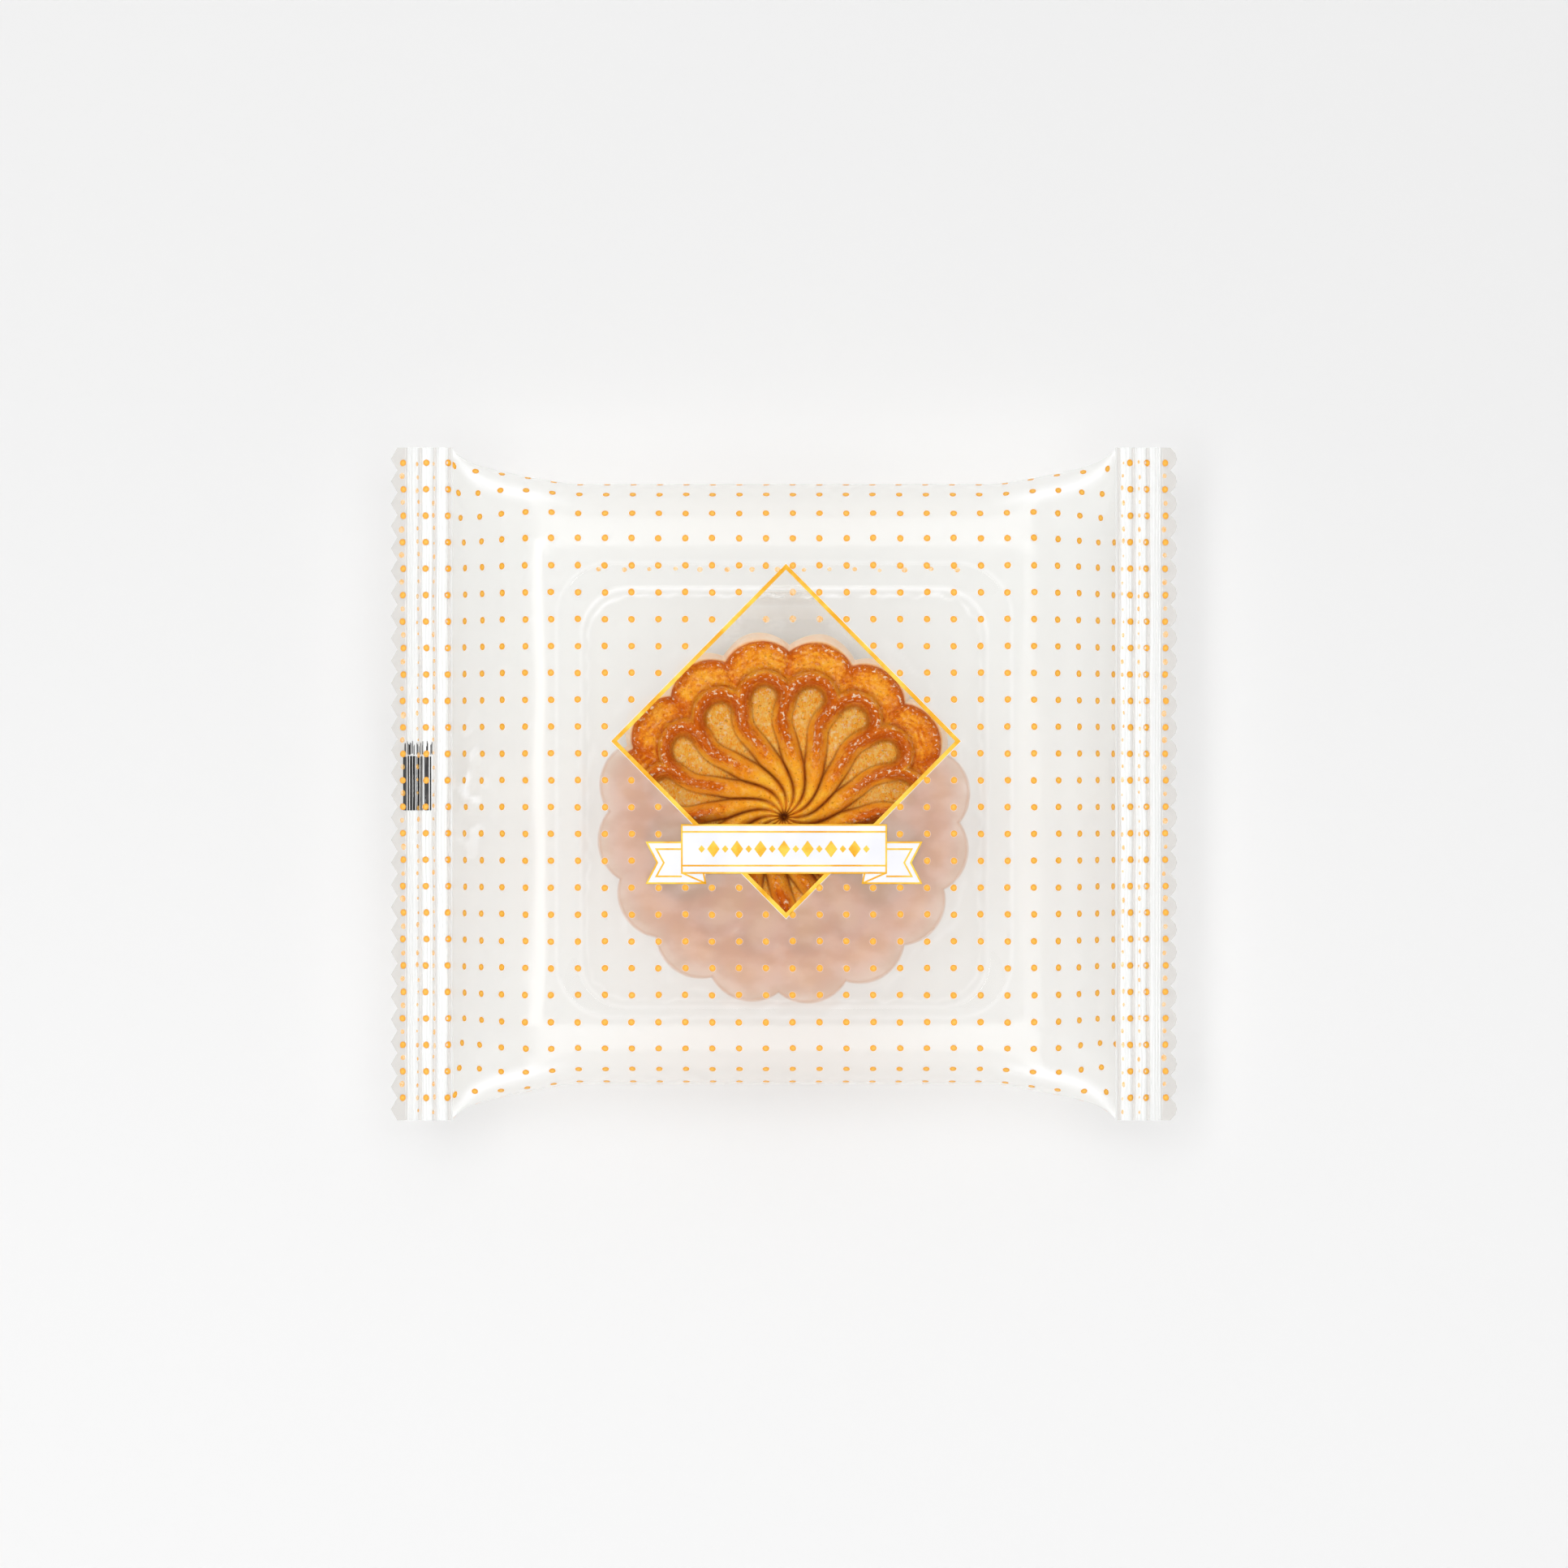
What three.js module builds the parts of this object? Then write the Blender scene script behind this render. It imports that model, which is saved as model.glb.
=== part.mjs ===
// A mooncake sealed in a pillow pack: one closed solid out to the film's outer face.
// Millimetres, +Z up. The pack lies on its back seal with the printed face up, and its two crimped end
// seals point along -X and +X. The origin is under the middle of the pack, on the surface it lies on.
import * as THREE from 'three';
import { ParametricGeometry } from 'three/addons/geometries/ParametricGeometry.js';
import { mergeVertices } from 'three/addons/utils/BufferGeometryUtils.js';

// The film tube: half of its girth, which is the same at every section and is the end seals' width.
const HALF_GIRTH = 136.4;
const PACK_LENGTH = 159.4;
const SEAL_WIDTH = 12.2;
const SEAL_THICKNESS = 0.8;

// The heights of the flat top over the tray, of the side edges, and the back seal's step.
const TOP_HEIGHT = 30;
const SEAL_HEIGHT = 15.5;
const BACK_SEAL_THICKNESS = 0.4;
const BACK_SEAL_WIDTH = 12;

// The tray inside: half of its flange, which the film is drawn over, and half of its cavity.
const FLANGE_HALF = 45.5;
const CAVITY_HALF = 40.5;
const CAVITY_CORNER = 8;
const FILM_SAG = 0.7;

// The crimped ribs of an end seal and the saw-toothed cut along its outer edge.
const RIB_PITCH = 2.9;
const RIB_HEIGHT = 0.7;
const RIB_COUNT = 3;
const RIB_MARGIN = 0.5;
const TOOTH_COUNT = 30;
const TOOTH_DEPTH = 1.3;

// How finely the solid is cut into faces.
const SAG_STEPS = 2;
const SLOPE_STEPS = 7;
const ARC_STEPS = 60;
const HALVINGS = 30;

const HALF_LENGTH = PACK_LENGTH / 2;
const SEAL_INNER = HALF_LENGTH - SEAL_WIDTH;
const SIDE_REACH = HALF_GIRTH / 2;
const SECTION_STEPS = 2 * TOOTH_COUNT;

// A quarter of an ellipse as a run of short chords, from its top to its side, with the length up to each.
function quarterEllipse(across, high) {
  const points = [new THREE.Vector2(0, high)];
  const lengths = [0];
  for (let step = 1; step <= ARC_STEPS; step += 1) {
    const angle = (step / ARC_STEPS) * (Math.PI / 2);
    points.push(new THREE.Vector2(across * Math.sin(angle), high * Math.cos(angle)));
    lengths.push(lengths[step - 1] + points[step].distanceTo(points[step - 1]));
  }
  return { points, lengths, across, high, total: lengths[ARC_STEPS] };
}

// The quarter ellipse of the wanted arc, where makeQuarter gives the one of a trial size.
function quarterOfArc(arcLength, makeQuarter) {
  let low = 0;
  let high = arcLength;
  for (let halving = 0; halving < HALVINGS; halving += 1) {
    const middle = (low + high) / 2;
    if (makeQuarter(middle).total < arcLength) low = middle;
    else high = middle;
  }
  return makeQuarter((low + high) / 2);
}

// The point of a quarter ellipse at a share, 0 to 1, of its arc.
function pointAtShare(quarter, share) {
  const wanted = share * quarter.total;
  let step = 1;
  while (step < ARC_STEPS && quarter.lengths[step] < wanted) step += 1;
  const before = quarter.lengths[step - 1];
  const part = (wanted - before) / (quarter.lengths[step] - before);
  return quarter.points[step - 1].clone().lerp(quarter.points[step], part);
}

// How full the pack is at x: 1 over the tray, falling along a parabola to 0 at an end seal.
function fullness(x) {
  const beyond = Math.max(0, Math.abs(x) - FLANGE_HALF);
  return Math.max(0, 1 - (beyond / (SEAL_INNER - FLANGE_HALF)) ** 2);
}

// The rounded sides of a section. Its halves share their side edges, so the upper side, as high as the
// pack is full there, gives the side edge, and the lower side then hangs as deep as its film allows.
function sectionSides(x) {
  const rise = (TOP_HEIGHT - SEAL_HEIGHT) * fullness(x);
  const upper = quarterOfArc(SIDE_REACH - FLANGE_HALF, (across) => quarterEllipse(across, rise));
  const reach = FLANGE_HALF + upper.across - CAVITY_HALF;
  const slack = quarterOfArc(SIDE_REACH - CAVITY_HALF, (high) => quarterEllipse(reach, high));
  const depth = Math.min(slack.high, SEAL_HEIGHT - BACK_SEAL_THICKNESS);
  return { upper, lower: quarterEllipse(reach, depth) };
}

// One half of a section, at the film's distance s from its middle line: x is along Y here, and y is how
// far from the side edge's height.
function halfSectionPoint(s, flatHalf, side) {
  const beyond = Math.abs(s) - flatHalf;
  if (beyond <= 0) return new THREE.Vector2(s, side.high);
  const point = pointAtShare(side, beyond / (SIDE_REACH - flatHalf));
  return new THREE.Vector2(Math.sign(s) * (flatHalf + point.x), point.y);
}

// The film dips a little inside the tray's rim.
function filmSag(x, y) {
  const sideX = Math.max(0, Math.abs(x) - (CAVITY_HALF - CAVITY_CORNER));
  const sideY = Math.max(0, Math.abs(y) - (CAVITY_HALF - CAVITY_CORNER));
  const inside = CAVITY_CORNER - Math.hypot(sideX, sideY);
  return FILM_SAG * THREE.MathUtils.smoothstep(inside, 0, CAVITY_CORNER);
}

// The crimp's wave across an end seal, up and down alike on both faces.
function ribWave(x) {
  const beyond = Math.abs(x) - SEAL_INNER - RIB_MARGIN;
  if (beyond <= 0 || beyond >= RIB_COUNT * RIB_PITCH) return 0;
  return RIB_HEIGHT * Math.sin((Math.PI * beyond) / RIB_PITCH) ** 2;
}

// The places along X from the middle out to an end: over the tray, down the slope, then rib by rib.
function halfPlaces() {
  const places = [0];
  for (let step = 0; step <= SAG_STEPS; step += 1) {
    places.push(CAVITY_HALF - CAVITY_CORNER * (1 - step / SAG_STEPS));
  }
  for (let step = 0; step <= SLOPE_STEPS; step += 1) {
    places.push(FLANGE_HALF + ((SEAL_INNER - FLANGE_HALF) * step) / SLOPE_STEPS);
  }
  for (let step = 0; step <= 2 * RIB_COUNT; step += 1) {
    places.push(SEAL_INNER + RIB_MARGIN + (RIB_PITCH * step) / 2);
  }
  places.push(HALF_LENGTH - TOOTH_DEPTH);
  return places;
}

// The sections of the whole pack from end to end. Past the last one at each end comes the saw-toothed cut,
// and then the line where both faces of that cut meet.
function packSections() {
  const half = halfPlaces().map((x) => ({ x, cut: false, shut: false }));
  const last = half[half.length - 1];
  const right = half.concat({ ...last, cut: true }, { ...last, cut: true, shut: true });
  const left = right.slice(1).reverse().map((place) => ({ ...place, x: -place.x }));
  return left.concat(right).map((place) => ({ ...place, sides: sectionSides(place.x) }));
}

// A point of the upper or lower face at the film's distance s from the middle line. The two faces are
// nowhere closer than the seals are thick.
function facePoint(section, s, upper) {
  const { x, sides } = section;
  const middle = SEAL_HEIGHT + ribWave(x);
  if (upper) {
    const point = halfSectionPoint(s, FLANGE_HALF, sides.upper);
    const rise = Math.max(point.y, SEAL_THICKNESS / 2);
    return new THREE.Vector3(x, point.x, middle + rise - filmSag(x, point.x));
  }
  const point = halfSectionPoint(s, CAVITY_HALF, sides.lower);
  const drop = Math.max(point.y, SEAL_THICKNESS / 2);
  const backSeal = Math.abs(s) < BACK_SEAL_WIDTH / 2 ? BACK_SEAL_THICKNESS : 0;
  return new THREE.Vector3(x, point.x, middle - drop - backSeal);
}

// The skin goes round each section once: over the upper face, then back under the lower one.
function packSkin() {
  const sections = packSections();
  const around = 2 * (SECTION_STEPS + 1);
  const point = (u, v, target) => {
    const place = Math.round(u * around) % around;
    const section = sections[Math.round(v * (sections.length - 1))];
    const upper = place <= SECTION_STEPS;
    const column = upper ? place : around - 1 - place;
    const s = SIDE_REACH - (HALF_GIRTH * column) / SECTION_STEPS;
    target.copy(facePoint(section, s, upper));
    if (section.cut) target.x += Math.sign(section.x) * TOOTH_DEPTH * (column % 2);
    if (section.shut) target.z = SEAL_HEIGHT;
  };
  return new ParametricGeometry(point, around, sections.length - 1);
}

// Shared corners are joined, and the faces that closing the ends has left without area go.
function closedSolid(geometry) {
  geometry.deleteAttribute('normal');
  geometry.deleteAttribute('uv');
  const merged = mergeVertices(geometry, 1e-4);
  const corners = merged.index.array;
  const kept = [];
  for (let at = 0; at < corners.length; at += 3) {
    const [a, b, c] = corners.subarray(at, at + 3);
    if (a !== b && b !== c && c !== a) kept.push(a, b, c);
  }
  merged.setIndex(kept);
  merged.computeVertexNormals();
  return merged;
}

const filmFinish = new THREE.MeshStandardMaterial({ color: 0xe9e4dd, roughness: 0.25, metalness: 0 });

const filmBag = new THREE.Mesh(closedSolid(packSkin()), filmFinish);
filmBag.name = 'film_bag';

const group = new THREE.Group();
group.add(filmBag);

export default group;
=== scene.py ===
"""A round mooncake in its clear tray, sealed in a pillow pack of milky film with gold dots.

Lengths are in millimetres up to the moment when a mesh is made, and +Y points to the window's upper
corner.
"""

import math

import bpy
import numpy as np
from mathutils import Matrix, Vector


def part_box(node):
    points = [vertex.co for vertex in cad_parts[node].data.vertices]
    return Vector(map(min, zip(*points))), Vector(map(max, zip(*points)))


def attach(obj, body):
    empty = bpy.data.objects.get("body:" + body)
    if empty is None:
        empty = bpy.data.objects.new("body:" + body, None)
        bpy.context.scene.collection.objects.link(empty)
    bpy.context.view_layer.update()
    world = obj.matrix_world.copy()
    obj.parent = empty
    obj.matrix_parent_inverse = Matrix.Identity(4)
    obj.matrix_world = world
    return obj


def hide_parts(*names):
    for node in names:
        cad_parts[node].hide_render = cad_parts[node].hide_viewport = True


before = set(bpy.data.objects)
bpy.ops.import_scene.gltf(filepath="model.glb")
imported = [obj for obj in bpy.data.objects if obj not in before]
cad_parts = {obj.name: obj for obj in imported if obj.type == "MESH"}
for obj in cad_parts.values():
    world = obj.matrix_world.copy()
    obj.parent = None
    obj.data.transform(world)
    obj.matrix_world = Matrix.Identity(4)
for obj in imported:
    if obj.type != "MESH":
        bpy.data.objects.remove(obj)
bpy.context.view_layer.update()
rng = np.random.default_rng(15)

# The film tube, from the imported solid's box and the dimensions it was made from.
HALF_LENGTH, SIDE_REACH, TOP_HEIGHT = 1000 * np.array(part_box("film_bag"))[1]
HALF_GIRTH = 2 * SIDE_REACH
SEAL_WIDTH = 12.2
SEAL_INNER = HALF_LENGTH - SEAL_WIDTH
SEAL_HEIGHT = 15.5
BACK_SEAL_THICKNESS = 0.4
BACK_SEAL_WIDTH = 12.0
FLANGE_HALF = 45.5
CAVITY_HALF = 40.5
CAVITY_CORNER = 8.0

# How far the film sags inside the tray's rim, and how much it gives under the pack.
FILM_SAG = 0.4
FILM_GIVE = 1.03

# The film's side edges beside the tray, and where and how far they run out towards the seals.
SIDE_EDGE = 60.8
FLARE_START = 42.5
FLARE = 4.9

# The fold out of each seal's corner, and the crinkled spot beside the eye mark.
FOLD_START = 40.0
FOLD_INSET = 3.7
CRINKLE_MIDDLE = (-63.5, -2.0)
CRINKLE_REACH = (3.2, 11.0)
CRINKLE_LENGTH = 4.6

# Where the film's mesh has its finest lines, over the tray's rim, and how far it has fine ones under
# the pack.
FINE_FROM = 33
FINE_TO = 48
FINE_UNDER = 30

# The end seals' crimp, by distance from a seal's inner edge, and their saw-toothed cut.
MAIN_GROOVES = (0.4, 3.35, 6.3)
FINE_GROOVES = (7.9, 8.5)
CRIMP_HEIGHT = 0.55
FLAT_STRIP = 9.0
TOOTH_COUNT = 30
TOOTH_DEPTH = 1.3
SEAL_LAYERS = 0.2

# The film's make: how much of it is white, and how much a veil that blurs what lies behind.
MILK = 0.56
VEIL = 0.17

# The printed dots.
DOT_PITCH = 5.363
DOT_RADIUS = 0.68
HALO_RADIUS = 0.74
FIRST_ROW = 0.75
MIDDLE_COLUMN = 15.675
DOT_CORNERS = 14
PRINT_LIFT = 0.012
PRINT_THICKNESS = 0.03

# The faint dots: those of the far layer in the window above this height, and a row over the tray's
# flange that is a painted reflection of the printed dots in it.
FAINT_ABOVE = 31.0
REFLECTED_DOT_ROW = 42.8
REFLECTED_DOT_PITCH = 5.1
REFLECTED_DOT_REACH = 37

# The eye mark's bars on the left seal, by distance from its inner edge, and width. Two of them are grey.
# The mark is one solid black patch: the gaps between its bars are painted highlights of the seal's ribs.
EYE_BARS = (
    (4.15, 0.26), (4.95, 0.9), (5.95, 0.54), (6.75, 0.6), (7.5, 0.5), (8.1, 0.44), (8.65, 0.3), (9.4, 0.7),
)
GREY_BARS = (1, 6)
EYE_MARK_BOTTOM = -5.35
EYE_MARK_TOP = 5.6

# The clear window, a square standing on its corner, and its border.
WINDOW_MIDDLE = (0.4, 8.55)
WINDOW_HALF = (34.35, 34.85)
BORDER_WIDTH = 0.82
BORDER_WHITE = 0.05

# The ribbon across the window's lower corner.
RIBBON_HALF = 20.4
RIBBON_TOP = -8.2
RIBBON_BOTTOM = -17.75
RIBBON_DROP = 2.05
TAIL_REACH = 27.4
TAIL_NOTCH = 2.1
TAIL_FOLD = 15.7
TAIL_TOP = -11.65
TAIL_INSET = 1.9
LINE_WIDTH = 0.34
LINE_INSET = 1.35
LOZENGE_PITCH = 2.35

# The tray.
TRAY_MIDDLE = (0.0, -1.2)
TRAY_FLANGE = 45.4
TRAY_CORNER = 10.8
TRAY_RIM = 4.9
CAVITY_SHIFT = -1.6
CAVITY_LONGER = 1.2
TRAY_TOP = 29.7
TRAY_FLOOR = 1.3
TRAY_DRAFT = 2.2
TRAY_WALL = 0.35
LIP_ROUND = 0.5
EDGE_ROUND = 0.9
FOOT_ROUND = 3.0

# The cake.
CAKE_MIDDLE = (0.0, -6.6)
CAKE_TOP = 28.7
CAKE_BOTTOM = 1.7
CLING_RADIUS = 38.0
SIDE_BULGE = 1.9
PETAL_COUNT = 16
PETAL_ANGLE = 360 / PETAL_COUNT
VALLEY_ANGLE = 1.8
LOBE_RADIUS = 8.3
LOBE_CENTRE = 27.2
ARCH_RADIUS = 4.69
ARCH_CENTRE = 23.9
RIDGE_HALF_WIDTH = 2.05
OUTER_FLANK = 1.35
FLOOR_DEPTH = 3.0
BAND_HEIGHT = 1.3

# The camera stands as far away as the photograph's perspective says. These two are in metres.
CAMERA_HEIGHT = 0.93
VIEW_WIDTH = 0.313


# Shapes worked out with arrays.


def smooth_step(value, low, high):
    """0 up to low and 1 from high on, with a smooth rise between."""
    share = np.clip((value - low) / (high - low), 0, 1)
    return share * share * (3 - 2 * share)


def bell(value, width, middle=0.0):
    """1 at the middle, falling off to nearly 0 two widths to either side."""
    return np.exp(-(((value - middle) / width) ** 2))


def ripple(a, b, wavelength, seed, waves=14):
    """A smooth uneven pattern between about -1 and 1 over two coordinates."""
    draw = np.random.default_rng(seed)
    total = np.zeros(np.broadcast(a, b).shape)
    for _ in range(waves):
        turn = draw.uniform(0, 2 * math.pi)
        length = wavelength * draw.uniform(0.6, 1.6)
        phase = draw.uniform(0, 2 * math.pi)
        total += np.sin(2 * math.pi * (a * math.cos(turn) + b * math.sin(turn)) / length + phase)
    return total / math.sqrt(waves)


def near(value, reach):
    """A value moved at random, by no more than a reach to either side."""
    return value + rng.uniform(-reach, reach)


def grid(first, second):
    """Two coordinates at every crossing of their lines."""
    return np.meshgrid(first, second, indexing="ij")


def quarter_arc(across, high, steps=80):
    """A quarter of an ellipse from its top to its side: its points, and the length up to each."""
    angle = np.linspace(0, math.pi / 2, steps + 1)
    out = across * np.sin(angle)
    up = high * np.cos(angle)
    length = np.concatenate([[0], np.cumsum(np.hypot(np.diff(out), np.diff(up)))])
    return out, up, length


def arc_of_length(length, make, halvings=30):
    """The quarter arc of the wanted length, where make gives the one of a trial size."""
    low, high = 0.0, length
    for _ in range(halvings):
        middle = (low + high) / 2
        if make(middle)[2][-1] < length:
            low = middle
        else:
            high = middle
    return make((low + high) / 2)


def along_half_section(distance, flat_half, arc):
    """How far out and up the film is at a distance from its middle line: flat first, then the arc."""
    out, up, length = arc
    beyond = np.maximum(0, distance - flat_half) * (length[-1] / (SIDE_REACH - flat_half))
    across = np.where(distance < flat_half, distance, flat_half + np.interp(beyond, length, out))
    return across, np.interp(beyond, length, up)


def fullness(x):
    """1 over the tray, falling along a parabola to 0 at an end seal."""
    beyond = np.maximum(0, np.abs(x) - FLANGE_HALF)
    return np.maximum(0, 1 - (beyond / (SEAL_INNER - FLANGE_HALF)) ** 2)


def film_dip(x, y):
    """How far the film dips inside the tray's rim."""
    side_x = np.maximum(0, np.abs(x) - (CAVITY_HALF - CAVITY_CORNER))
    side_y = np.maximum(0, np.abs(y) - (CAVITY_HALF - CAVITY_CORNER))
    return FILM_SAG * smooth_step(CAVITY_CORNER - np.hypot(side_x, side_y), 0, CAVITY_CORNER)


def curve_weights(value, line):
    """The four places of an even line about a value, each with its weight for a smooth curve."""
    place = np.interp(value, line, np.arange(len(line)))
    low = np.minimum(place.astype(int), len(line) - 2)
    t = place - low
    weights = (
        ((2 - t) * t - 1) * t / 2,
        ((3 * t - 5) * t * t + 2) / 2,
        ((4 - 3 * t) * t + 1) * t / 2,
        (t - 1) * t * t / 2,
    )
    steps = zip((-1, 0, 1, 2), weights)
    return [(np.clip(low + step, 0, len(line) - 1), weight) for step, weight in steps]


class Sheet:
    """A curved sheet, worked out on a fine grid over two coordinates and read between its points."""

    def __init__(self, first, second, points):
        self.first = first
        self.second = second
        self.points = points

    def at(self, a, b):
        """The points at the coordinates a and b, on smooth curves through the grid's points."""
        lines_a = curve_weights(a, self.first)
        lines_b = curve_weights(b, self.second)
        total = 0
        for place_a, weight_a in lines_a:
            for place_b, weight_b in lines_b:
                total = total + self.points[place_a, place_b] * (weight_a * weight_b)[..., None]
        return total

    def normal(self, a, b, reach=0.4):
        """Which way the sheet faces, from its points a little to each side."""
        along = self.at(a + reach, b) - self.at(a - reach, b)
        across = self.at(a, b + reach) - self.at(a, b - reach)
        facing = np.cross(along, across)
        return facing / np.maximum(np.linalg.norm(facing, axis=-1, keepdims=True), 1e-9)

    def lifted(self, a, b, height):
        """The points at a and b, moved off the sheet by a height."""
        a, b = np.broadcast_arrays(np.asarray(a, float), np.asarray(b, float))
        return self.at(a, b) + self.normal(a, b) * height


class Mirrored(Sheet):
    """A sheet whose first coordinate runs towards -X, so that its face is the other way about."""

    def normal(self, a, b, reach=0.4):
        return -super().normal(a, b, reach)


def side_edge(x):
    """How far out the film's side edge is: straight beside the tray, then out to the seal's corner."""
    share = np.clip((np.abs(x) - FLARE_START) / (SEAL_INNER - FLARE_START), 0, 1)
    return SIDE_EDGE + FLARE * share ** 1.2 + (SIDE_REACH - SIDE_EDGE - FLARE) * share ** 10


def fold_crest(x, y):
    """How far a place lies from the fold that runs out of each end seal's corner, and how strong the
    fold is there."""
    run = np.clip((np.abs(x) - FOLD_START) / (SEAL_INNER - FOLD_START), 0, 1)
    inward = side_edge(x) - np.abs(y)
    strength = smooth_step(run, 0.0, 0.5) * (1 - 0.6 * smooth_step(run, 0.85, 1.0))
    return inward - FOLD_INSET * (1 - run ** 6), strength


def rim_line(x, y, inset, corner, width):
    """1 along the tray's outline at an inset from its flange's edge, and 0 away from it."""
    inward = min(inset / TRAY_RIM, 1)
    half = TRAY_FLANGE - inset - corner
    side_x = np.abs(x - TRAY_MIDDLE[0]) - half
    side_y = np.abs(y - TRAY_MIDDLE[1] - CAVITY_SHIFT * inward) - half - CAVITY_LONGER * inward
    outside = np.hypot(np.maximum(0, side_x), np.maximum(0, side_y))
    return bell(outside + np.minimum(0, np.maximum(side_x, side_y)) - corner, width)


def tray_lines(x, y):
    """Where the film shows the tray's edges: the flange's as one line, the cavity's as a double one."""
    outer = rim_line(x, y, 0, TRAY_CORNER, 0.4)
    inner = rim_line(x, y, TRAY_RIM, TRAY_CORNER - 1.5, 0.38)
    waver = 0.25 * ripple(x, y, 4, 17)
    second = rim_line(x + waver, y + waver, TRAY_RIM + 1.3, TRAY_CORNER - 2, 0.34)
    crisp = 0.5 + 0.9 * smooth_step(y, 25, 38)
    return 0.5 * outer + (inner + second * (0.7 + 0.3 * ripple(x, y, 5, 16))) * crisp


def cling_lines(x, y):
    """Where the film clings round the cake in thin uneven creases."""
    from_cake = np.hypot(x - CAKE_MIDDLE[0], y - CAKE_MIDDLE[1])
    total = 0
    for radius, seed in ((CLING_RADIUS, 6), (CLING_RADIUS + 1.5, 21)):
        away = from_cake - radius - 0.8 * ripple(x, y, 8, seed)
        total = total + bell(away, 0.8) * smooth_step(ripple(x, y, 9, seed + 1), -0.4, 1.2)
    return total


def crinkles(x, y):
    """The uneven height of the film's crinkles, and how much of them there is at a place."""
    across, along = zip(CRINKLE_REACH, CRINKLE_MIDDLE)
    return ripple(x, y * 0.6, CRINKLE_LENGTH, 5), bell(x, *across) * bell(y, *along)


def film_relief(x, y):
    """The small unevenness of the film's printed face, as a height."""
    over_tray = smooth_step(FLANGE_HALF + 4 - np.maximum(np.abs(x), np.abs(y)), 0, 8)
    on_slope = smooth_step(np.abs(x), 44, 52) * smooth_step(SEAL_INNER - np.abs(x), 0, 5)
    calm = (ripple(x, y, 34, 3) * 0.05 - 0.5 * (y / FLANGE_HALF) ** 2) * over_tray
    drawn = ripple(x, y * 0.4, 15, 4) * 0.16 * on_slope
    crinkle, crinkled = crinkles(x, y)
    away, strength = fold_crest(x, y)
    ridge = (0.55 * bell(away, 1.7) - 0.55 * bell(away, 3, 5.5)) * strength
    lines = 0.06 * tray_lines(x, y) - 0.08 * cling_lines(x, y)
    return calm + drawn + crinkle * 0.45 * crinkled + ridge + lines


def film_crease_highlights(x, y):
    """How much the film's printed face is painted white along its creases, as painted highlights: the
    fold out of each seal's corner, the tray's edges, the cling round the cake and the crinkles.
    """
    away, strength = fold_crest(x, y)
    crinkle, crinkled = crinkles(x, y)
    crinkle_highlight = smooth_step(crinkle, 0.3, 0.9) * crinkled
    lines = 0.5 * tray_lines(x, y) + 0.15 * cling_lines(x, y)
    return np.clip(bell(away, 1.4, 0.4) * strength + lines + crinkle_highlight, 0, 1)


def film_tube(step=0.3):
    """The film from end seal to end seal. Its second coordinate goes round it: 0 along the printed
    face's middle line, the side edges at SIDE_REACH, and the back's middle line at HALF_GIRTH."""
    places = np.linspace(-SEAL_INNER, SEAL_INNER, int(2 * SEAL_INNER / step) | 1)
    around = np.linspace(-HALF_GIRTH, HALF_GIRTH, int(2 * HALF_GIRTH / step) | 1)
    front = np.abs(around) <= SIDE_REACH
    distance = np.where(front, np.abs(around), HALF_GIRTH - np.abs(around))
    side = np.sign(around)
    skin = (SEAL_LAYERS / 2) * (1 - (distance / SIDE_REACH) ** 8)
    points = np.zeros((len(places), len(around), 3))
    for row, x in enumerate(places):
        rise = (TOP_HEIGHT - SEAL_HEIGHT) * fullness(x)
        upper = quarter_arc(side_edge(x) - FLANGE_HALF, rise)
        reach = side_edge(x) - CAVITY_HALF
        slack = arc_of_length(SIDE_REACH - CAVITY_HALF, lambda high: quarter_arc(reach, high))
        depth = min(slack[1][0] * FILM_GIVE, SEAL_HEIGHT - BACK_SEAL_THICKNESS)
        out_above, up = along_half_section(distance, FLANGE_HALF, upper)
        out_below, down = along_half_section(distance, CAVITY_HALF, quarter_arc(reach, depth))
        y = side * np.where(front, out_above, out_below)
        flat = smooth_step(up, 0, 1.5) if rise > 0 else np.zeros_like(up)
        high = np.hypot(up, skin) + film_relief(x, y) * flat - film_dip(x, y)
        z = SEAL_HEIGHT + np.where(front, high, -np.hypot(down, skin))
        points[row] = np.stack([np.full_like(y, x), y, z], -1)
    return Sheet(places, around, points)


TUBE = film_tube()


def crimp(distance, y):
    """The height of an end seal's crimp at a distance from its inner edge: ribs between grooves."""
    place = distance + 0.5 * (0.12 * np.sin(y / 9.0) + 0.07 * np.sin(y / 3.7 + 1))
    height = np.full(np.broadcast(distance, y).shape, CRIMP_HEIGHT)
    for grooves, width, depth in ((MAIN_GROOVES, 0.42, 1.0), (FINE_GROOVES, 0.16, 0.3)):
        for groove in grooves:
            height = height - depth * CRIMP_HEIGHT * bell(place, width, groove)
    height = height + 0.025 * np.sin(place * 2 * math.pi / 0.62 + 0.6 * np.sin(y / 6.0))
    return height * (1 - smooth_step(distance, FLAT_STRIP - 0.4, FLAT_STRIP + 0.2))


def end_seal(side):
    """The middle of an end seal's two pressed layers. Its coordinates are the distance from the seal's
    inner edge and the place across the pack."""
    distance = np.linspace(-0.3, SEAL_WIDTH, 141)
    y = np.linspace(-SIDE_REACH, SIDE_REACH, 12 * TOOTH_COUNT + 1)
    d, across = grid(distance, y)
    lie = 0.25 * np.sin(across / 17.0 + side) * smooth_step(d, 0, SEAL_WIDTH)
    points = np.stack([side * (SEAL_INNER + d), across, SEAL_HEIGHT + crimp(d, across) + lie], -1)
    return Sheet(distance, y, points)


# Making meshes.


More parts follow.
